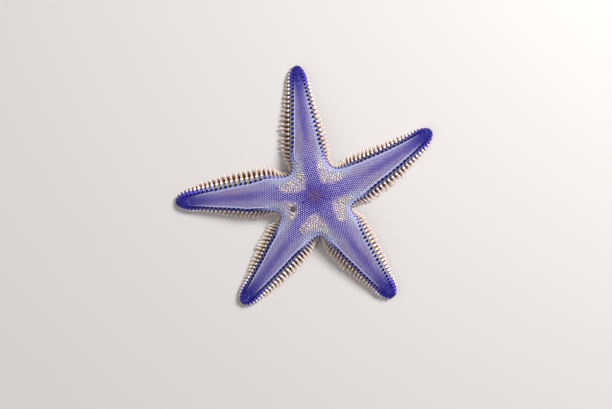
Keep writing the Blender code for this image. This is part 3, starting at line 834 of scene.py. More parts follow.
def dome(segments, rings):
    """A round knob, 1 in radius, with its middle at the origin."""
    mesh = bmesh.new()
    bmesh.ops.create_uvsphere(mesh, u_segments=segments, v_segments=rings, radius=1.0)
    return form_of(mesh, crown=lambda points: np.clip(points[:, 2], 0, 1))


CROWNS = (crown(5), crown(6), crown(6, 1.75), dome(8, 5))
print("crowns and grain have", [len(form.counts) for form in CROWNS], "faces")

# %% [markdown]
# ## Where the paxillae stand
# Paxillae crowd one another as they grow, so they end almost evenly apart, in lines that bend
# over the disc. A grid laid on each arm would show a seam where two arms meet. So the places
# are first laid in staggered lines along each arm, and then push one another apart a few times.
# Two kinds keep their places: pale grains along the plates, and the long cream ones of the fans.

# %% From a level place to a place on the back
DISC_MIDDLE = -0.99
TABLE_PLATES, TABLE_ACROSS = (
    grid.ravel()
    for grid in np.meshgrid(np.linspace(DISC_MIDDLE, TIP_ROWS_END, 300), np.linspace(-1, 1, 41))
)


def tree_of(points):
    tree = KDTree(len(points))
    for number, point in enumerate(points):
        tree.insert((point[0], point[1], 0.0), number)
    tree.balance()
    return tree


BACKS = [back_points(index, TABLE_PLATES, TABLE_ACROSS) for index in range(len(ARMS))]
BACK_TREE = tree_of(np.concatenate(BACKS))


def crossed(first, second):
    return first[:, 0] * second[:, 1] - first[:, 1] * second[:, 0]


def located(points):
    """The arm, the plate and the share across of level places."""
    nearest = np.array([BACK_TREE.find((*point, 0.0))[1] for point in points])
    arm, sample = np.divmod(nearest, len(TABLE_PLATES))
    plate, across = TABLE_PLATES[sample].copy(), TABLE_ACROSS[sample].copy()
    for index in range(len(ARMS)):
        here = arm == index
        level = partial(level_back, index)
        p, a = plate[here], across[here]
        for _ in range(3):
            off = points[here] - level(p, a)
            by_plate = level(p + STEP, a) - level(p - STEP, a)
            by_across = level(p, a + STEP) - level(p, a - STEP)
            size = crossed(by_plate, by_across) / (2 * STEP)
            size = np.where(np.abs(size) < 1e-10, np.inf, size)
            p = p + np.clip(crossed(off, by_across) / size, -0.3, 0.3)
            a = a + np.clip(crossed(by_plate, off) / size, -0.2, 0.2)
            p = np.clip(p, DISC_MIDDLE, TIP_ROWS_END)
        plate[here], across[here] = p, a
    return arm, plate, across


# %% Lines across the arms and grains along the plates
PITCH_RADII, PITCHES = (12 * MM, 24 * MM, 50 * MM), (0.80 * MM, 0.66 * MM, 0.50 * MM)
GRAIN_PITCH, GRAIN_INSET, GRAINS_FROM, GRAINS_TO = 0.50 * MM, 0.24 * MM, 3.0, TIP_ROWS_END - 0.3
FIRST_LINE, LINE_HALF = 0.9 * MM, 14


def pitch_at(points):
    """How far apart paxillae are: wide on the disc and fine towards the tips."""
    return np.interp(np.linalg.norm(points, axis=-1), PITCH_RADII, PITCHES)


def lines_of(index):
    """Staggered lines across an arm, from the disc's centre to its tip."""
    arm, run, lines = ARMS[index], FIRST_LINE, []
    while run < arm.length:
        pitch = pitch_at(np.array((run, 0.0)))
        sideways = (np.arange(-LINE_HALF, LINE_HALF + 1) + 0.5 * (len(lines) % 2)) * pitch
        share = run / arm.length
        lines.append(arm_axis(arm, share) + sideways[:, None] * arm_left(arm, share))
        run += 0.87 * pitch
    return np.concatenate(lines)


def grains_of(index, side):
    """A line of grains along the plates of one side."""
    plate = np.linspace(GRAINS_FROM, GRAINS_TO, 2000)
    across = side * (1 - GRAIN_INSET / section_at(index, plate).back)
    level = level_back(index, plate, across)
    lengths = lengths_along(level)
    return at_length(np.arange(0.0, lengths[-1], GRAIN_PITCH), lengths, level)


rim_points = np.concatenate([grains_of(*place) for place in SIDES])
print("grains", len(rim_points))

# %% The long paxillae of the fans
MADREPORITE_PLACE, MADREPORITE_RADIUS = np.array((-8.1 * MM, -4.9 * MM)), 1.1 * MM
FAN_LINES, DASH_STEP, DASH_BEND, DASH_SHIFT = 6, 0.98 * MM, 0.35, 0.16
FAN_KEPT = (0.97, 0.35, 0.92, 0.85, 0.90)


def from_sieve(points):
    """How far level places are from the edge of the sieve plate."""
    return np.linalg.norm(points - MADREPORITE_PLACE, axis=-1) - MADREPORITE_RADIUS


def dashes_of(notch):
    """Places of the long paxillae in front of a notch, and the way each one points."""
    source, outward = fan_axis(notch)
    points, ways = [], []
    for number in range(-FAN_LINES, FAN_LINES + 1):
        share = number / FAN_LINES
        near, far = fan_limits(notch, share)
        distance = np.arange(near + 0.5 * DASH_STEP * (number % 2), far, DASH_STEP)
        angle = share * FAN_ANGLES[notch]
        way = -outward * math.cos(angle) - leftward(outward) * math.sin(angle)
        points.append(source + way * distance[:, None])
        ways.append(way + rng.uniform(-DASH_BEND, DASH_BEND, (len(distance), 2)))
    points, ways = np.concatenate(points), unit(np.concatenate(ways))
    points = points + rng.uniform(-DASH_SHIFT, DASH_SHIFT, points.shape) * MM
    keep = rng.uniform(0, 1, len(points)) < FAN_KEPT[notch]
    keep &= from_sieve(points) > 0.75 * MM
    return points[keep], ways[keep]


fans = [dashes_of(notch) for notch in range(len(ARMS))]
fan_points, fan_ways = (np.concatenate(parts) for parts in zip(*fans))
print("cream", len(fan_points))

# %% Fill the back and push the places apart
NORMAL, DASH, RIM_GRAIN = 0, 1, 2
PUSHES, PUSH, GAP_TRIES, GAP_REACH = 12, 0.32, 3000, 12 * MM
SIEVE_GAP, RIM_GAP, GRAIN_GAP = 0.3 * MM, 0.05 * MM, 0.2 * MM


def spread(points, fixed):
    """Lets places push one another apart until they are about a pitch from each other."""
    wanted = 1.05 * pitch_at(points)
    for _ in range(PUSHES):
        tree = tree_of(points)
        moved = points.copy()
        for number in np.flatnonzero(~fixed):
            here, push = Vector((*points[number], 0.0)), Vector((0.0, 0.0, 0.0))
            for other, at, distance in tree.find_range(here, wanted[number]):
                if at != number:
                    push += (here - other) * (wanted[number] / max(distance, 0.01 * MM) - 1)
            moved[number] += np.array(push[:2]) * PUSH
        points = moved
    return points


kept = np.concatenate([fan_points, rim_points])
filled, free = tree_of(kept), []
for index in range(len(ARMS)):
    lines = lines_of(index)
    arm, plate, across = located(lines)
    margin = np.where(plate > GRAINS_FROM, GRAIN_INSET + GRAIN_GAP, RIM_GAP)
    limit = 1 - margin / section_at(index, np.maximum(plate, 0)).back
    lines = lines[(arm == index) & (np.abs(across) < limit) & (plate < GRAINS_TO)]
    free += [spot for spot in lines if filled.find((*spot, 0.0))[2] > 0.62 * pitch_at(spot)]
free = np.array(free)
free = free[from_sieve(free) > SIEVE_GAP]
crowd = tree_of(free)
near = [crowd.find_range((*point, 0.0), 0.5 * pitch_at(point)) for point in free]
free = free[[all(at >= number for _, at, _ in found) for number, found in enumerate(near)]]
kinds = np.repeat((DASH, RIM_GRAIN, NORMAL), (len(fan_points), len(rim_points), len(free)))
places = spread(np.concatenate([kept, free]), kinds != NORMAL)
# Lines of two arms leave gaps where they meet, which more paxillae fill
tried = GAP_REACH * np.sqrt(rng.uniform(0, 1, GAP_TRIES))
for point in tried[:, None] * turned(rng.uniform(0, math.tau, GAP_TRIES)):
    gap = np.min(np.hypot(*(places - point).T))
    if gap > 0.80 * pitch_at(point) and from_sieve(point) > SIEVE_GAP:
        places = np.concatenate([places, point[None]])
print("gaps filled", len(places) - len(kinds), "paxillae", len(places))
kinds = np.append(kinds, np.full(len(places) - len(kinds), NORMAL))
ways = np.zeros_like(places)
ways[kinds == DASH] = fan_ways

# %% The paxillae's material: pigmented calcite
# Each grain is chalky calcite under a thin film of coloured skin, so crowns are matt, and pale in
# the middle on the blue bands. Their tops are lighter than the skin between them and than their own
# rims and pillars, which carry painted shade.
LILAC_DOT, CREAM_DOT, PINK_DOT, GRAIN_PALE = "#CAC2F4", "#F4EBBE", "#D2BEC4", "#CFCFF0"
velvet, shader, node = new_material("pigmented_calcite", 0.7)
colour, blue, tip = markings(node)
# Painted shade: below the crown's top, its rim and pillar are darkened towards deep violet
painted_shade = node(BLEND, 0.40, colour, "#281C58")
colour = node(BLEND, node(RISE, "crown", 0.0, 0.16), painted_shade, colour)
core = node(TIMES, node(RISE, "crown", 0.42, 0.58), node(RISE, "tuft", -0.5, 0.5))
on_blue = node(TIMES, node(TIMES, core, blue), node(RISE, "reach", 0.50, 0.32))
on_blue = node(TIMES, on_blue, node(RISE, "reach", 0.025, 0.17))
colour = node(BLEND, on_blue, colour, LILAC_DOT)
elsewhere = node(TIMES, node(TIMES, core, node(RISE, tip, 1.0, 0.0)), 0.12)
colour = node(BLEND, elsewhere, colour, "#D9D6EC")
cream = node(BLEND, node(RISE, "tuft", 0.15, 0.6), PINK_DOT, CREAM_DOT)
colour = node(BLEND, node(TIMES, "dash", node(RISE, "crown", 0.05, 0.35)), colour, cream)
pale_grain = node(BLEND, node(RISE, "reach", 0.74, 0.90), GRAIN_PALE, colour)
join(shader, Base_Color=node(BLEND, node(TIMES, "grain", 0.9), colour, pale_grain))

# %% Grow the coat
CROWN_WIDTH, CROWN_HEIGHT = 0.93, 0.41 * MM
DASH_WIDTH, SPECK_SHARE, SPECKS_WITHIN = 0.52 * MM, 0.5, 1.2 * MM
GRAIN_RADIUS, GRAIN_LIFT = 0.23 * MM, -0.16 * MM
DISC_TO, DISC_MAP, COAT_PATCH = 1.5, 33 * MM, 0.003


def on_disc_map(points):
    """The middle of a patch on the map for baking, for something on the disc."""
    return 0.5 + points[:, :2] / DISC_MAP


def grow(heap, index, plate, across, kind, way, pitch):
    """Adds the paxillae at these places of an arm and its share of the disc."""
    point, along, side, out = frame_of(partial(back_points, index), plate, across)
    marks = back_marks(index, plate, across)
    spot = np.stack([0.5 + 0.45 * across, 0.02 + 0.96 * plate / TIP_ROWS_END], -1)
    if (plate < DISC_TO).all():
        spot = on_disc_map(point)
    shape = np.where(kind == NORMAL, rng.integers(0, 2, len(kind)), kind + 1)
    speck = rng.uniform(0, 1, len(kind)) < SPECK_SHARE * (from_sieve(point[:, :2]) < SPECKS_WITHIN)
    for number, form in enumerate(CROWNS):
        here = shape == number
        count = here.sum()
        if not count:
            continue
        spin = rng.uniform(-math.pi, math.pi, count)[:, None]
        x_axis = np.cos(spin) * side[here] + np.sin(spin) * along[here]
        grown = rng.uniform(0.9, 1.06, count)
        wide, tall = pitch[here] * CROWN_WIDTH * grown, CROWN_HEIGHT * rng.uniform(0.86, 1.0, count)
        lift = -COAT_DEPTH
        if number == DASH + 1:
            x_axis = unit(np.cross(raised(way[here]), out[here]))
            wide = DASH_WIDTH * rng.uniform(0.75, 1.15, count)
        if number == RIM_GRAIN + 1:
            wide, tall, lift = GRAIN_RADIUS * grown, GRAIN_RADIUS * grown, GRAIN_LIFT
        origin, y_axis = point[here] + out[here] * lift, np.cross(out[here], x_axis)
        size = np.stack([wide, wide, tall], -1)
        copies = placed(form, origin, x_axis, y_axis, out[here], size)
        values = {name: marks[name][here] for name in MARK_NAMES}
        values |= {"tuft": rng.uniform(0, 1, count), "dash": speck[here] | (kind[here] == DASH)}
        heap.add(form, copies, spot[here], COAT_PATCH, grain=kind[here] == RIM_GRAIN, **values)


arms_of, plates_of, shares_of = located(places)
details = plates_of, shares_of, kinds, ways, pitch_at(places)
disc_heap = Heap()
for index in range(len(ARMS)):
    arm_heap = Heap()
    for heap, zone in ((disc_heap, plates_of < DISC_TO), (arm_heap, plates_of >= DISC_TO)):
        here = (arms_of == index) & zone & (np.abs(shares_of) < 1.02)
        grow(heap, index, *(values[here] for values in details))
    arm_heap.piece(f"paxillae_arm_{index + 1}", velvet)
disc_heap.piece("paxillae_disc", velvet)

# %% [markdown]
# ## The upper plates
# A row of stout plates edges each side of an arm. Each is a rounded bar over the flank, with a
# round navy knob at its inner end and a white one at its outer end. A plain box would have no
# soft edge to catch the light, so the bar is a cube with bevelled edges, cut across so that it
# can bend. Its three axes are then read as along the arm, down the side and out of the skin.

# %% A bar and a knob
BAR_ROUND, BAR_CROWN = 0.16, 0.16


def rounded(mesh, edges, width, segments):
    bmesh.ops.bevel(
        mesh, geom=edges, offset=width, offset_type="OFFSET", affect="EDGES", segments=segments,
        profile=0.5, material=-1,
    )


def bar(cuts):
    """A bar with round edges, from -1 to 1 along, 0 to 1 down and -1 to 0 in depth."""
    mesh = hanging_cube()
    bmesh.ops.scale(mesh, verts=mesh.verts, vec=(2.0, 1.0, 1.0))
    heights = {edge: [vertex.co.z for vertex in edge.verts] for edge in mesh.edges}
    upper = [edge for edge, (first, second) in heights.items() if min(first, second) > -0.1]
    upper += [edge for edge, (first, second) in heights.items() if abs(first - second) > 0.5]
    rounded(mesh, upper, BAR_ROUND, 2)
    cut(mesh, Vector((0, 1, 0)), np.arange(1, cuts + 1) / (cuts + 1))
    cut(mesh, Vector((1, 0, 0)), [0])
    for vertex in mesh.verts:
        if vertex.co.z > -0.05:
            vertex.co.z += BAR_CROWN * (1 - vertex.co.x**2)
    return form_of(mesh, outer=lambda points: points[:, 1])


BAR, LONG_BAR, KNOB = bar(4), bar(9), dome(10, 7)
print("bar, long bar and knob have", [len(form.counts) for form in (BAR, LONG_BAR, KNOB)], "faces")

# %% Place the upper plates and the knobs
UPPER_HALF, UPPER_FROM, UPPER_TO = 0.44, 0.03, 0.55
UPPER_DEPTH, UPPER_RISE, OUTER_RISE = 0.55 * MM, 0.06 * MM, 0.28 * MM
KNOB_DOWN, KNOB_RADIUS, KNOB_LIFT, KNOB_FLATNESS = 0.06, 0.60 * MM, 0.32 * MM, 0.75
SPOT_DOWN, SPOT_RADIUS, SPOT_LIFT = 0.50, 0.53 * MM, 0.46 * MM
PLATE_PATCH = (0.09, 0.036)
# In the notches the row starts lower on the side, and its knobs are small
LOWERED = 0.26 * ramp(MIDDLES, 6.0, 0.0)
KNOB_GROWTH = np.interp(NUMBERS, (2, 7, 15, 25), (0.55, 1.0, 1.0, 0.78))
PLAIN_NOTCHES = (1, 2, 3)
PLAIN_GROWTH = KNOB_GROWTH * np.interp(NUMBERS, (2, 6), (0.45, 1.0))
SPOT_GROWTH = np.interp(NUMBERS, (2, 9), (0.35, 1.0))


def bend_bars(form, index, side, half, start, end, depth, rise):
    """Copies of a bar, one for each plate of a row, bent over the side of an arm."""
    along, share, deep = form.points.T
    plate = MIDDLES[:, None] + half * HALVES[:, None] * along
    point, _, _, out = side_frame(index, side, plate, start + (end - start) * share + 0 * plate)
    scale = section_at(index, np.clip(plate, 0, TIP_ROWS_END)).scale
    return point + out * ((rise + depth * deep) * scale)[..., None]


upper, inner_knobs, outer_knobs = Heap(), Heap(), Heap()
for row, (index, side) in enumerate(SIDES):
    share, spot = NUMBERS / ROW_PLATES, spots(row, ROW_PLATES)
    top, rise = UPPER_FROM + LOWERED[:, None], UPPER_RISE + OUTER_RISE * BAR.points[:, 1]
    bars = bend_bars(BAR, index, side, UPPER_HALF, top, UPPER_TO, UPPER_DEPTH, rise)
    upper.add(BAR, bars, spot, PLATE_PATCH, plate=share)
    scale = section_at(index, MIDDLES).scale
    knob_growth = PLAIN_GROWTH if notch_of(index, side) in PLAIN_NOTCHES else KNOB_GROWTH
    for heap, down, radius, lift, growth in (
        (inner_knobs, KNOB_DOWN + LOWERED, KNOB_RADIUS, KNOB_LIFT, knob_growth),
        (outer_knobs, np.full(ROW_PLATES, SPOT_DOWN), SPOT_RADIUS, SPOT_LIFT, SPOT_GROWTH),
    ):
        point, along, across, out = side_frame(index, side, MIDDLES, down)
        grown = scale * rng.uniform(0.90, 1.06, ROW_PLATES) * growth
        size = radius * grown[:, None] * np.array((1.0, 1.0, KNOB_FLATNESS))
        knobs = placed(KNOB, point + out * (lift * scale)[:, None], along, across, out, size)
        heap.add(KNOB, knobs, spot, PLATE_PATCH, plate=share)

# %% Materials of the plates: calcite under thin skin
# The plates are chalk-like calcite with a thin coloured skin: a fine grain, hardly any shine.
# The knobs are denser and smoother, so they catch a small highlight.
PLATE_PALE, PLATE_LILAC, PLATE_VIOLET = "#AEB6D6", "#ADA6E0", "#6A60C0"
plate_calcite, shader, node = new_material("lilac_calcite", 0.5)
colour = node(BLEND, node(RISE, "outer", 0.6, 0.2), PLATE_LILAC, PLATE_VIOLET)
colour = node(BLEND, node(RISE, "plate", 0.28, 0.12), colour, PLATE_PALE)
colour = node(BLEND, node(TIMES, node(RISE, "plate", 0.62, 0.88), 0.9), colour, "#5244C4")
blots = node(TIMES, node(NOISE, Scale=1 / (0.6 * MM)), 0.3)
colour = node(BLEND, blots, colour, "#6E6AA8")
join(shader, Base_Color=colour, Normal=granules(node, 0.17 * MM, 0.06 * MM))

navy, shader, node = new_material("navy_tubercle", 0.32)
fine = node(BUMP, 0.25, 0.04 * MM, Height=node(NOISE, Scale=1 / (0.2 * MM)))
colour = node(BLEND, node(RISE, "plate", 0.10, 0.27), "#7078BE", "#0C0766")
join(shader, Base_Color=colour, Normal=fine)

chalk, shader, node = new_material("white_tubercle", 0.5)
fine = node(BUMP, 0.3, 0.04 * MM, Height=node(NOISE, Scale=1 / (0.2 * MM)))
colour = node(BLEND, node(RISE, "plate", 0.12, 0.30), "#BCBCCC", "#FDFBF4")
colour = node(BLEND, node(RISE, "plate", 0.66, 1.0), colour, "#C4BCF0")
join(shader, Base_Color=colour, Normal=fine)

upper.piece("upper_plates", plate_calcite)
inner_knobs.piece("navy_knobs", navy)
outer_knobs.piece("white_knobs", chalk)

# %% [markdown]
# ## The lower plates and their spines
# Below the seam lies a second row of plates, which wrap round under the arm as far as the
# furrow. Each carries one long flat spine that points out, and shorter ones round its root. A
# plain cone would look like a thorn, so the spine is a six-sided cone, cut into rings,
# flattened and given the outline of a blade.

# %% A spine
BLADE_AT, BLADE_HALF = (0, 0.15, 0.4, 0.75, 0.93, 1.0), (0.42, 0.47, 0.50, 0.45, 0.30, 0.05)
UP, DOWN = np.array((0.0, 0.0, 1.0)), np.array((0.0, 0.0, -1.0))
FLOOR_GAP = 0.02 * MM


def spine(rings, flatness):
    """A blade that points up its Z axis, 1 long and 1 wide at its widest, from z = 0."""
    root, point = 0.5, 0.02
    mesh = cone(6, root, point, 1.0, 0.0)
    cut(mesh, Vector((0, 0, 1)), np.arange(1, rings) / rings)
    for vertex in mesh.verts:
        z = vertex.co.z
        width = np.interp(z, BLADE_AT, BLADE_HALF) / (root + (point - root) * z)
        vertex.co.x *= width
        vertex.co.y *= width * flatness
    return form_of(mesh, root=lambda points: points[:, 2])


SPINE, SHORT_SPINE = spine(6, 0.62), spine(3, 0.8)
print("spine and short spine have", [len(form.counts) for form in (SPINE, SHORT_SPINE)], "faces")


def add_spines(heap, form, foot, way, wide, long, spot, patch, **marks):
    """Spines on their feet with their flat sides up, and no part of them in the floor."""
    x_axis = unit(np.cross(way, UP))
    size = np.stack([np.broadcast_to(value, len(way)) for value in (wide, wide, long)], -1)
    copies = placed(form, foot, x_axis, np.cross(way, x_axis), way, size)
    copies[..., 2] = np.maximum(copies[..., 2], FLOOR_GAP)
    heap.add(form, copies, spot, patch, flat=form.points[:, [0, 2]] - (0.0, 0.5), **marks)


# %% Place the lower plates and the spines
LOWER_HALF, LOWER_DEPTH, LOWER_FROM, LOWER_TO = 0.74, 0.5 * MM, 0.60, 1.72
SPINE_LENGTH, SPINE_WIDTH, SPINE_SUNK = 3.4 * MM, 0.98 * MM, 0.25 * MM
SPINE_AT_NOTCH, SPINE_AT_TIP = 0.5, 0.22
SPINE_FULL_FROM, SPINE_FULL_TO = 5.0, 10.0
SPINE_PATCH = (0.014, 0.034)
# Down the side, along the plate, way along the arm, climb, shares of the long spine's length and
# width, and how dark the spine is, a dark maroon that is partly the short spines' own colour and
# partly painted shade between the long ones
COMPANIONS = (
    (0.84, 0.00, 0.36, 0.07, 1.00, 1.00, 0.0),
    (0.74, 0.10, 0.30, 0.24, 0.40, 0.56, 0.1),
    (0.90, 0.42, 0.36, 0.03, 0.72, 0.60, 1.0),
    (0.92, 0.64, 0.26, 0.01, 0.62, 0.58, 0.9),
    (0.94, 0.16, 0.36, 0.00, 0.60, 0.56, 0.8),
)
growth = np.minimum(1.0, SPINE_AT_NOTCH + (1 - SPINE_AT_NOTCH) * MIDDLES / SPINE_FULL_FROM)
fall = np.maximum(0.0, MIDDLES - SPINE_FULL_TO) / (PLATES - SPINE_FULL_TO)
LENGTHS = SPINE_LENGTH * growth * (1 - (1 - SPINE_AT_TIP) * fall)

lower, long_spines, short_spines = Heap(), Heap(), Heap()
for row, (index, side) in enumerate(SIDES):
    spot, section = spots(row, ROW_PLATES), section_at(index, MIDDLES)
    bars = bend_bars(LONG_BAR, index, side, LOWER_HALF, LOWER_FROM, LOWER_TO, LOWER_DEPTH, 0.0)
    bars[..., 2] = np.maximum(bars[..., 2], 0.0)
    lower.add(LONG_BAR, bars, spot, PLATE_PATCH)
    level = raised(-inward_at(section, index, side, MIDDLES))
    reach = ARMS[index].spines[0 if side > 0 else 1]
    for number, (down, shift, sweep, climb, length, width, dark) in enumerate(COMPANIONS):
        plate = MIDDLES + 2 * HALVES * shift
        point, along, _, _ = side_frame(index, side, plate, np.full(ROW_PLATES, down))
        sweeps = sweep + rng.uniform(-0.13, 0.13, (ROW_PLATES, 1))
        climbs = climb + rng.uniform(-0.05, 0.06, (ROW_PLATES, 1))
        way = unit(level + unit(along * (1, 1, 0)) * sweeps + UP * climbs)
        long = LENGTHS * reach * length * rng.uniform(0.9, 1.1, ROW_PLATES) + SPINE_SUNK
        wide = SPINE_WIDTH * width * section.scale**0.5 * rng.uniform(0.92, 1.08, ROW_PLATES)
        form, heap = (SHORT_SPINE, short_spines) if number else (SPINE, long_spines)
        add_spines(
            heap, form, point - way * SPINE_SUNK, way, wide, long,
            spot + (0.08 * (number / 5 - 0.4), 0.0), SPINE_PATCH,
            tuft=rng.uniform(0, 1, ROW_PLATES), dark=dark,
        )

# %% Materials of the lower plates and spines
# The lower plates are bare chalky calcite, and light from the floor shows their grain.
under_calcite, shader, node = new_material("cream_calcite", 0.6)
colour = node(BLEND, node(NOISE, Scale=1 / (0.8 * MM)), "#D9BFA6", "#B08E86")
join(shader, Base_Color=colour, Normal=granules(node, 0.22 * MM, 0.08 * MM))

# Spines are denser, waxy and slightly clear at the tip, and brownish at the root. The short spines
# round each root are dark maroon, partly their own colour and partly painted shade between the long
# spines.
ivory, shader, node = new_material("ivory_calcite", 0.42)
body = node(BLEND, "tuft", "#D8C8AC", "#D6BAB0")
body = node(BLEND, node(RISE, "root", 0.6, 1.0), body, "#F0E0D8")
body = node(BLEND, node(RISE, "root", 0.34, 0.10), body, "#B09468")
# Partly painted shade: the dark short spines are maroon at the root, paling to pink at the tip
maroon_and_shade = node(BLEND, node(RISE, "root", 0.3, 0.95), "#6E3440", "#B58A92")
join(shader, Base_Color=node(BLEND, "dark", body, maroon_and_shade))
join(shader, Subsurface_Weight=0.05, Subsurface_Scale=0.5 * MM)

lower.piece("lower_plates", under_calcite)
long_spines.piece("long_spines", ivory)
short_spines.piece("short_spines", ivory)

# %% [markdown]
# ## The arm's tips
# One hard plate caps each arm, set with short spikes. It could be half of a squashed ball, but
# then it wouldn't meet the arm's own cross-section, so a grid is laid from the arm's end round
# the tip.

# %% The tip plates
CAP_FROM, CAP_ROUNDNESS, CAP_HALF, CAP_HEIGHT = 0.968, 0.75, 1.75 * MM, 2.35 * MM
CAP_COLUMNS, CAP_ROWS = 16, 10
SPIKES, SPIKE_WIDTH, SPIKE_SUNK, SPIKE_FORWARD = 12, 0.36 * MM, 0.2 * MM, 0.35
# Bend round the tip, and angle over it as a share of half a turn
TIP_KNOBS = np.array((
    (0.30, 0.20), (0.80, 0.23), (1.12, 0.32), (1.28, 0.50), (1.12, 0.68), (0.80, 0.77), (0.30, 0.80)
))
TIP_KNOB_RADIUS = 0.36 * MM
SPIKE_PATCH, TIP_KNOB_PATCH = (0.05, 0.15), (0.09, 0.15)


def cap_point(index, bend, angle):
    """Points of a tip plate: bend runs from its edge to the end of the arm, angle over it."""
    arm, lean = ARMS[index], section_at(index, float(PLATES)).lean
    share = CAP_FROM + (1 - CAP_FROM) * np.sin(bend)
    shrink = np.maximum(np.cos(bend), 0.0) ** CAP_ROUNDNESS
    sideways = CAP_HALF * shrink * np.cos(angle) + lean * 0.5
    level = arm_axis(arm, share) + arm_left(arm, share) * sideways[..., None]
    return raised(level, CAP_HEIGHT * shrink * np.sin(angle))


tips, tip_spikes, tip_knobs = bmesh.new(), Heap(), Heap()
for index, arm in enumerate(ARMS):
    add_sheet(
        tips, CAP_COLUMNS, CAP_ROWS,
        lambda u, v: (cap_point(index, v * math.pi / 2, u * math.pi), {}),
    )
    bend = rng.uniform(0.15, 1.15, SPIKES)
    foot = cap_point(index, bend, np.linspace(0.12, 0.88, SPIKES) * math.pi)
    forward = raised(-leftward(arm_left(arm, 1.0)))
    core = raised(arm_axis(arm, CAP_FROM), 0.3 * CAP_HEIGHT)
    way = unit(unit(foot - core) + SPIKE_FORWARD * forward)
    add_spines(
        tip_spikes, SHORT_SPINE, foot - way * SPIKE_SUNK, way, SPIKE_WIDTH,
        rng.uniform(0.45, 0.7, SPIKES) * MM, spots(index, SPIKES, len(ARMS))[:, ::-1], SPIKE_PATCH,
    )
    count = len(TIP_KNOBS)
    foot = cap_point(index, TIP_KNOBS[:, 0], TIP_KNOBS[:, 1] * math.pi)
    size = np.full((count, 3), TIP_KNOB_RADIUS) * rng.uniform(0.85, 1.05, (count, 1))
    knobs = placed(KNOB, foot, *(np.tile(axis, (count, 1)) for axis in np.eye(3)), size)
    spot = spots(index, count, len(ARMS))[:, ::-1]
    tip_knobs.add(KNOB, knobs, spot, TIP_KNOB_PATCH, plate=1.0)
bmesh.ops.remove_doubles(tips, verts=tips.verts, dist=SAME_PLACE)
open_edges = [edge for edge in tips.edges if edge.is_boundary]
bmesh.ops.holes_fill(tips, edges=open_edges, sides=0)

# %% Materials of the tips: deep blue calcite
# The cap is the arm's hardest plate, nearly bare, with a skin so dark that it only shines a little.
blue_calcite, shader, node = new_material("deep_blue_calcite", 0.4)
uneven = node(BUMP, 0.5, 0.08 * MM, Height=node(NOISE, Scale=1 / (0.3 * MM)))
colour = node(BLEND, node(NOISE, Scale=1 / (0.5 * MM)), "#14145A", "#26298C")
join(shader, Base_Color=colour, Normal=uneven)
blue_spike, shader, node = new_material("blue_spikelet", 0.4)
join(shader, Base_Color=node(BLEND, node(RISE, "root", 0.5, 1.0), "#121352", "#4A4CA8"))

tip_plates = finished_bmesh("tip_plates", tips, blue_calcite)
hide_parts(*[name for name in flesh_nodes if name.endswith("_tip")])
tip_spikes.piece("tip_spikes", blue_spike)
tip_knobs.piece("tip_knobs", navy)

# %% [markdown]
# ## The madreporite
# The sieve plate is a small round stone on the disc, off its middle, with grooves that run in
# from its rim. A bump pattern would leave its outline smooth, so a cone gives its low cushion,
# insets give it rings, and every second rib is pressed down to make the grooves.

# %% The sieve plate
SIEVE_RIBS, SIEVE_GROOVE, SIEVE_HEIGHT = 20, 0.11 * MM, 7.42 * MM
SIEVE_FOOT, SIEVE_TOP, SIEVE_DEPTH, SIEVE_SMOOTH = 1.15 * MM, 1.1 * MM, 0.8 * MM, 0.3 * MM
SIEVE_STEPS = np.array(((0.18, 0.14), (0.22, 0.07), (0.24, 0.03), (0.22, -0.02))) * MM
sieve = cone(2 * SIEVE_RIBS, SIEVE_FOOT, SIEVE_TOP, SIEVE_DEPTH, -SIEVE_DEPTH / 2)
draw_in(sieve, SIEVE_STEPS)
for vertex in sieve.verts:
    if vertex.co.z > 0 and math.hypot(vertex.co.x, vertex.co.y) > SIEVE_SMOOTH:
        rib = round(math.atan2(vertex.co.y, vertex.co.x) / math.tau * 2 * SIEVE_RIBS)
        vertex.co.z -= SIEVE_GROOVE * (rib % 2)
bmesh.ops.translate(sieve, verts=sieve.verts, vec=raised(MADREPORITE_PLACE, SIEVE_HEIGHT))
# Bare chalky stone, coloured dark grey-brown all over in blotches, as painted shade on the sunken
# plate
shaded_sieve_stone, shader, node = new_material("shaded_sieve_calcite", 0.6)
join(shader, Base_Color=node(BLEND, node(NOISE, Scale=1 / (0.3 * MM)), "#332C3A", "#6A5E62"))
sieve_plate = finished_bmesh("sieve_plate", sieve, shaded_sieve_stone)
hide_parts("madreporite")

# %% [markdown]
# ## The furrows
# Under each arm runs a furrow with two rows of soft pointed tube feet, and a row of small
# plates on each lip that fold their spines across it. Each foot could be a curve with a taper,
# but hundreds of curves are heavy, so they are made as the other rows are, from one foot.

# %% A tube foot and a tuft of lip spines
FOOT_AT, FOOT_HALF, FOOT_RINGS = (0, 0.5, 0.85, 1), (1.0, 0.86, 0.5, 0.12), 7
# Turn along the lip, climb and length in millimetres
LIP_SPINES = ((-0.5, 0.35, 0.8), (0.0, 0.30, 0.95), (0.5, 0.35, 0.8), (0.2, 0.12, 0.6))
LIP_SPINE_WIDTH, LIP_SPINE_HEIGHT, LIP_SPINE_SUNK = 0.26 * MM, 0.22 * MM, 0.15 * MM


def foot_form():
    """A soft pointed foot that hangs down its Z axis, 1 long and 1 wide, with faint rings."""
    mesh = cone(FOOT_RINGS, 0.5, 0.5, 1.0, -1.0)
    cut(mesh, Vector((0, 0, 1)), -np.arange(1, FOOT_RINGS) / FOOT_RINGS)
    for vertex in mesh.verts:
        down = -vertex.co.z
        ring = 1 + 0.07 * math.cos(round(down * FOOT_RINGS) * math.pi)
        vertex.co.xy *= np.interp(down, FOOT_AT, FOOT_HALF) * ring
    return form_of(mesh, root=lambda points: -points[:, 2])


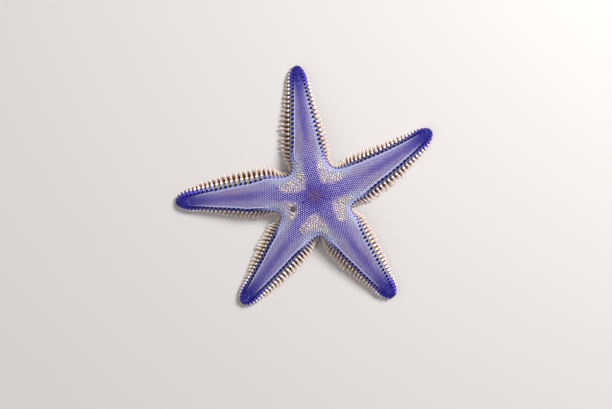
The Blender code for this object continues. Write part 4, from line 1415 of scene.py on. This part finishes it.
def add_lip_spines(heap, lip, inward, along, scale, spot, patch):
    """A tuft of spines at each of these places on a furrow's lip, folded across the furrow."""
    for turn, rise, length in LIP_SPINES:
        turns = turn + rng.uniform(-0.15, 0.15, (len(lip), 1))
        way = unit(raised(inward + along * turns, rise))
        foot = raised(lip + along * (0.12 * turn * MM), LIP_SPINE_HEIGHT) - way * LIP_SPINE_SUNK
        shift = (patch[0] * (turn + (0.5 if rise < 0.2 else 0.0)), 0.0)
        add_spines(
            heap, SHORT_SPINE, foot, way, LIP_SPINE_WIDTH * scale, length * MM * scale,
            spot + shift, np.multiply(patch, 0.8), tuft=rng.uniform(0, 1, len(lip)), dark=0.0,
        )


FOOT = foot_form()
print("a foot has", len(FOOT.counts), "faces")

# %% Place the feet, the lip plates and their spines
DISC_FEET, ARM_FEET, LIP_STEPS = 9, 47, 42
FEET = DISC_FEET + ARM_FEET
FOOT_WIDTH, FOOT_OFF_MIDDLE, FOOT_FLOOR = 0.62 * MM, 0.52 * MM, 0.05 * MM
FOOT_ROOT, FOOT_EXTRA = 0.3 * MM, 0.25 * MM
LIP_FROM, LIP_DEPTH = 1.80, 0.42 * MM
FOOT_PATCH, LIP_PATCH, LIP_SPINE_PATCH = (0.016, 0.08), (0.09, 0.02), (0.01, 0.02)
LIP_AT = (np.arange(LIP_STEPS) + 0.3) * (PLATES - 0.4) / LIP_STEPS
feet, lip_plates, furrow_spines = Heap(), Heap(), Heap()
for row, (index, side) in enumerate(SIDES):
    plate = np.append(
        np.linspace(-0.78, -0.06, DISC_FEET) + 0.03 * (side > 0),
        np.linspace(0.3, PLATES - 0.5, ARM_FEET) + 0.25 * (side > 0),
    )
    section = section_at(index, np.clip(plate, 0, TIP_ROWS_END))
    level = section.middle * np.clip(plate + 1, 0, 1)[:, None]
    level = level + section.across * (side * FOOT_OFF_MIDDLE * section.scale)[:, None]
    roof = FURROW_HEIGHT * section.height
    lean = rng.uniform(-0.15, 0.2, FEET)[:, None] * side * section.across
    z_axis = unit(raised(-lean, 1.0))
    x_axis = unit(np.cross(z_axis, (0.3, 0.9, 0.0)))
    long = (roof + FOOT_EXTRA) * rng.uniform(0.72, 0.9, FEET)
    wide = FOOT_WIDTH * section.scale
    size, origin = np.stack([wide, wide, long], -1), raised(level, roof + FOOT_ROOT)
    copies = placed(FOOT, origin, x_axis, np.cross(z_axis, x_axis), z_axis, size)
    copies[..., 2] = np.maximum(copies[..., 2], FOOT_FLOOR)
    spot, flat = spots(row, FEET)[:, ::-1], FOOT.points[:, [0, 2]] + (0.0, 0.5)
    feet.add(FOOT, copies, spot, FOOT_PATCH, flat=flat)

    plate = LIP_AT[:, None] + 0.40 * PLATES / LIP_STEPS * BAR.points[:, 0]
    down = LIP_FROM + (LIP_DOWN - LIP_FROM) * BAR.points[:, 1] + 0 * plate
    blocks = side_points(index, side, plate, down)
    blocks[..., 2] = -LIP_DEPTH * np.minimum(BAR.points[:, 2], 0.0)
    spot, section = spots(row, LIP_STEPS), section_at(index, LIP_AT)
    lip_plates.add(BAR, blocks, spot, LIP_PATCH)
    along = unit(margin_at(index, side, LIP_AT + 0.5) - margin_at(index, side, LIP_AT - 0.5))
    lip = side_points(index, side, LIP_AT, 1.97)[:, :2]
    inward = -side * section.across
    add_lip_spines(furrow_spines, lip, inward, along, section.scale, spot, LIP_SPINE_PATCH)

# Tube feet are soft wet muscle, so light goes into them
soft, shader, node = new_material("tube_foot_tissue", 0.35)
join(shader, Base_Color=node(BLEND, "root", "#C98F62", "#F0D3A8"))
join(shader, Subsurface_Weight=0.25, Subsurface_Scale=0.6 * MM)
feet.piece("tube_feet", soft)
lip_plates.piece("lip_plates", under_calcite)
furrow_spines.piece("furrow_spines", ivory)

# %% [markdown]
# ## The disc from below
# Between two furrows the sole is paved with small scales in rows along both furrows. At the
# mouth each pavement ends in a jaw of two plates with a tuft of spines that point inward. The
# photograph shows none of it, so it follows the species. Tiles cut from one sheet would have
# sharp flat edges, so each scale is a low dome and each jaw a bevelled cube, tapered inward.

# %% Lips and scales of the disc
DISC_LIPS, LIP_WIDE, FIRST_LIP = 7, 0.95 * MM, 1.0 * MM
SCALES_FROM, SCALE_PITCH, SCALE_EDGE = 1.45 * MM, 1.12 * MM, 0.45 * MM
SCALE_SIZE = np.array((0.60, 0.74, 0.40)) * MM
DISC_LIP_PATCH, DISC_SPINE_PATCH, SCALE_PATCH = (0.026, 0.03), (0.008, 0.026), (0.03, 0.03)
PAVING, SCALE = (form._replace(marks={}) for form in (BAR, KNOB))


def facing(way, count):
    """Three axes for each of a count of forms that hang from the disc and point along a way."""
    y_axis, z_axis = np.tile(raised(way), (count, 1)), np.tile(DOWN, (count, 1))
    return np.cross(y_axis, z_axis), y_axis, z_axis


pavement, mouth_spines = Heap(), Heap()
for notch in range(len(ARMS)):
    outward = notch_direction(notch)
    jaw = outward * JAW_RADIUS
    corner = side_points(notch, 1, np.zeros(1), UNDER)[0, :2]
    ends = [
        side_points(at % len(ARMS), side, np.zeros(1), LIP_DOWN)[0, :2]
        for at, side in ((notch, 1), (notch + 1, -1))
    ]
    lines = [unit(end - jaw) for end in ends]
    for end, line in zip(ends, lines):
        inward = leftward(line) * -np.sign(leftward(line) @ outward)
        pitch = (np.linalg.norm(end - jaw) - FIRST_LIP) / DISC_LIPS
        run = FIRST_LIP + pitch * (np.arange(DISC_LIPS) + 0.4)
        lip = jaw + line * run[:, None] + inward * 0.05 * MM
        size = np.tile((0.42 * pitch, LIP_WIDE, COAT_DEPTH), (DISC_LIPS, 1))
        blocks = placed(PAVING, raised(lip, 0.07 * MM), *facing(-inward, DISC_LIPS), size)
        pavement.add(PAVING, blocks, on_disc_map(lip), DISC_LIP_PATCH)
        add_lip_spines(mouth_spines, lip, inward, line, 1.0, on_disc_map(lip), DISC_SPINE_PATCH)
    sine = abs(lines[0] @ leftward(lines[1]))
    steps = [grid.ravel()[:, None] for grid in np.meshgrid(np.arange(10), np.arange(10))]
    first, second = ((SCALES_FROM + SCALE_PITCH * count) / sine for count in steps)
    points = jaw + first * lines[0] + second * lines[1]
    for end in ends:
        across = leftward(unit(corner - end))
        points = points[(points - end) @ across * np.sign((jaw - end) @ across) > SCALE_EDGE]
    count = len(points)
    size = SCALE_SIZE * rng.uniform(0.9, 1.05, (count, 1))
    scales = placed(SCALE, raised(points, COAT_DEPTH), *facing(outward, count), size)
    pavement.add(SCALE, scales, on_disc_map(points), SCALE_PATCH)

# %% The jaws and their spines
JAW_TIP_RADIUS, JAW_APART, JAW_LIFT = 1.65 * MM, 0.36 * MM, 0.04 * MM
JAW_SIZE = np.array(((0.66, 2.0, 1.35),)) * MM
JAW_PATCH, JAW_SPINE_PATCH = (0.02, 0.05), (0.006, 0.02)
JAW_SPINES, JAW_SPINE_WIDTH, JAW_SPINE_LENGTH = 7, 0.27 * MM, 0.95 * MM


def jaw_half():
    """Half of a jaw, 1 long, 1 wide and 1 deep, with its blunt inner tip at y = 0."""
    mesh = hanging_cube()
    for vertex in mesh.verts:
        if vertex.co.y < 0.1:
            vertex.co.x *= 0.6
            vertex.co.z *= 0.65
    rounded(mesh, mesh.edges, 0.13, 3)
    return form_of(mesh)


JAW = jaw_half()
for notch in range(len(ARMS)):
    outward = notch_direction(notch)
    sideways = leftward(outward)
    for half in (1, -1):
        foot = (outward * JAW_TIP_RADIUS + sideways * half * JAW_APART)[None]
        block = placed(JAW, raised(foot, JAW_LIFT), *facing(outward, 1), JAW_SIZE)
        pavement.add(JAW, block, on_disc_map(foot), JAW_PATCH)
    fan = np.linspace(-1, 1, JAW_SPINES)[:, None]
    root = outward * (JAW_TIP_RADIUS + 0.15 * MM) + sideways * fan * 0.5 * MM
    way = raised(-outward + sideways * fan * 0.35) + UP * rng.uniform(-0.1, 0.25, (JAW_SPINES, 1))
    foot = raised(root, 0.45 * MM) + UP * rng.uniform(-0.15, 0.35, (JAW_SPINES, 1)) * MM
    add_spines(
        mouth_spines, SHORT_SPINE, foot, unit(way), JAW_SPINE_WIDTH, JAW_SPINE_LENGTH,
        on_disc_map(root), JAW_SPINE_PATCH, tuft=rng.uniform(0, 1, JAW_SPINES), dark=0.0,
    )
pavement.piece("disc_pavement", under_calcite)
mouth_spines.piece("mouth_spines", ivory)

# %% [markdown]
# ## The mouth
# A soft ring lies above the jaws. It is a round profile spun about the middle, with its inner
# edge drawn into folds, which a plain torus wouldn't have.

# %% The ring
MOUTH_OPENING, MOUTH_HALF, MOUTH_FOLDS, FOLD_DEPTH = 0.8 * MM, 0.45 * MM, 20, 0.05 * MM
GAP, FOLDS_WITHIN = 0.3 * MM, 1.4 * MM
ring = bmesh.new()
bmesh.ops.create_circle(ring, cap_ends=False, segments=14, radius=MOUTH_HALF)
upright = Matrix.Rotation(math.pi / 2, 3, "X")
bmesh.ops.rotate(ring, verts=ring.verts, cent=(0, 0, 0), matrix=upright)
profile_middle = (MOUTH_OPENING + MOUTH_HALF, 0, ROOF - GAP - MOUTH_HALF)
bmesh.ops.translate(ring, verts=ring.verts, vec=profile_middle)
bmesh.ops.spin(
    ring, geom=[*ring.verts, *ring.edges], axis=(0, 0, 1), cent=(0, 0, 0), angle=math.tau,
    steps=40, use_merge=True,
)
for vertex in ring.verts:
    if math.hypot(vertex.co.x, vertex.co.y) < FOLDS_WITHIN:
        angle = math.atan2(vertex.co.y, vertex.co.x)
        vertex.co.z += FOLD_DEPTH * math.cos(MOUTH_FOLDS * angle)
mouth_ring = finished_bmesh("mouth_ring", ring, soft)
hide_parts("mouth")

# %% [markdown]
# ## Floor, light and camera
# The camera looks straight down, as in the photograph, and its picture is as wide there as the
# photograph's. A large soft light comes from the upper right and a pale sky fills the shadows.
# A small lamp would be another way, but its hard shadows would hide the spines.

# %% Stage
bpy.ops.mesh.primitive_plane_add(size=3.0, location=(0, 0, -FLOOR_GAP))
floor = bpy.context.object
floor.name = "floor"
paper, shader, node = new_material("pale_paper", 0.85)
join(shader, Base_Color="#C9C5C3")
floor.data.materials.append(paper)
floor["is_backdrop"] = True

PHOTO_WIDTH, PIXEL = 612, 0.376 * MM
LENS, SENSOR, BODY_MIDDLE = 90.0, 36.0, 5 * MM
PICTURE_MIDDLE = Vector((0.646 * MM, -7.206 * MM, 0.0))


def stand(name, data, place):
    """An object at a place in the scene. A camera or a lamp then looks straight down."""
    thing = bpy.data.objects.new(name, data)
    thing.location = place
    bpy.context.scene.collection.objects.link(thing)
    return thing


camera_data = bpy.data.cameras.new("camera")
camera_data.lens, camera_data.sensor_width = LENS, SENSOR
height = PHOTO_WIDTH * PIXEL * LENS / SENSOR + BODY_MIDDLE
bpy.context.scene.camera = stand("camera", camera_data, PICTURE_MIDDLE + Vector((0, 0, height)))

for name, place, size, energy in (
    ("key", (0.35, 0.30, 0.45), 0.22, 5.6),
    ("fill", (-0.5, -0.2, 0.5), 0.6, 1.7),
):
    data = bpy.data.lights.new(name, "AREA")
    data.shape, data.size, data.energy = "DISK", size, energy
    light = stand(name, data, place)
    light.rotation_mode = "QUATERNION"
    light.rotation_quaternion = (-Vector(place)).to_track_quat("-Z", "Y")
# This transform shows a colour as it was given, where Blender's own greys strong blues
bpy.context.scene.view_settings.view_transform = "Standard"
world = bpy.data.worlds.new("studio")
world.use_nodes = True
join(world.node_tree.nodes["Background"], Color="#EFEDEE", Strength=0.32)
bpy.context.scene.world = world

# %% Check the size and finish
low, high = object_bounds()
for name, size in (("visual", high - low), ("solids", cad_high - cad_low)):
    print(name, "size mm", [round(1000 * x, 2) for x in size])
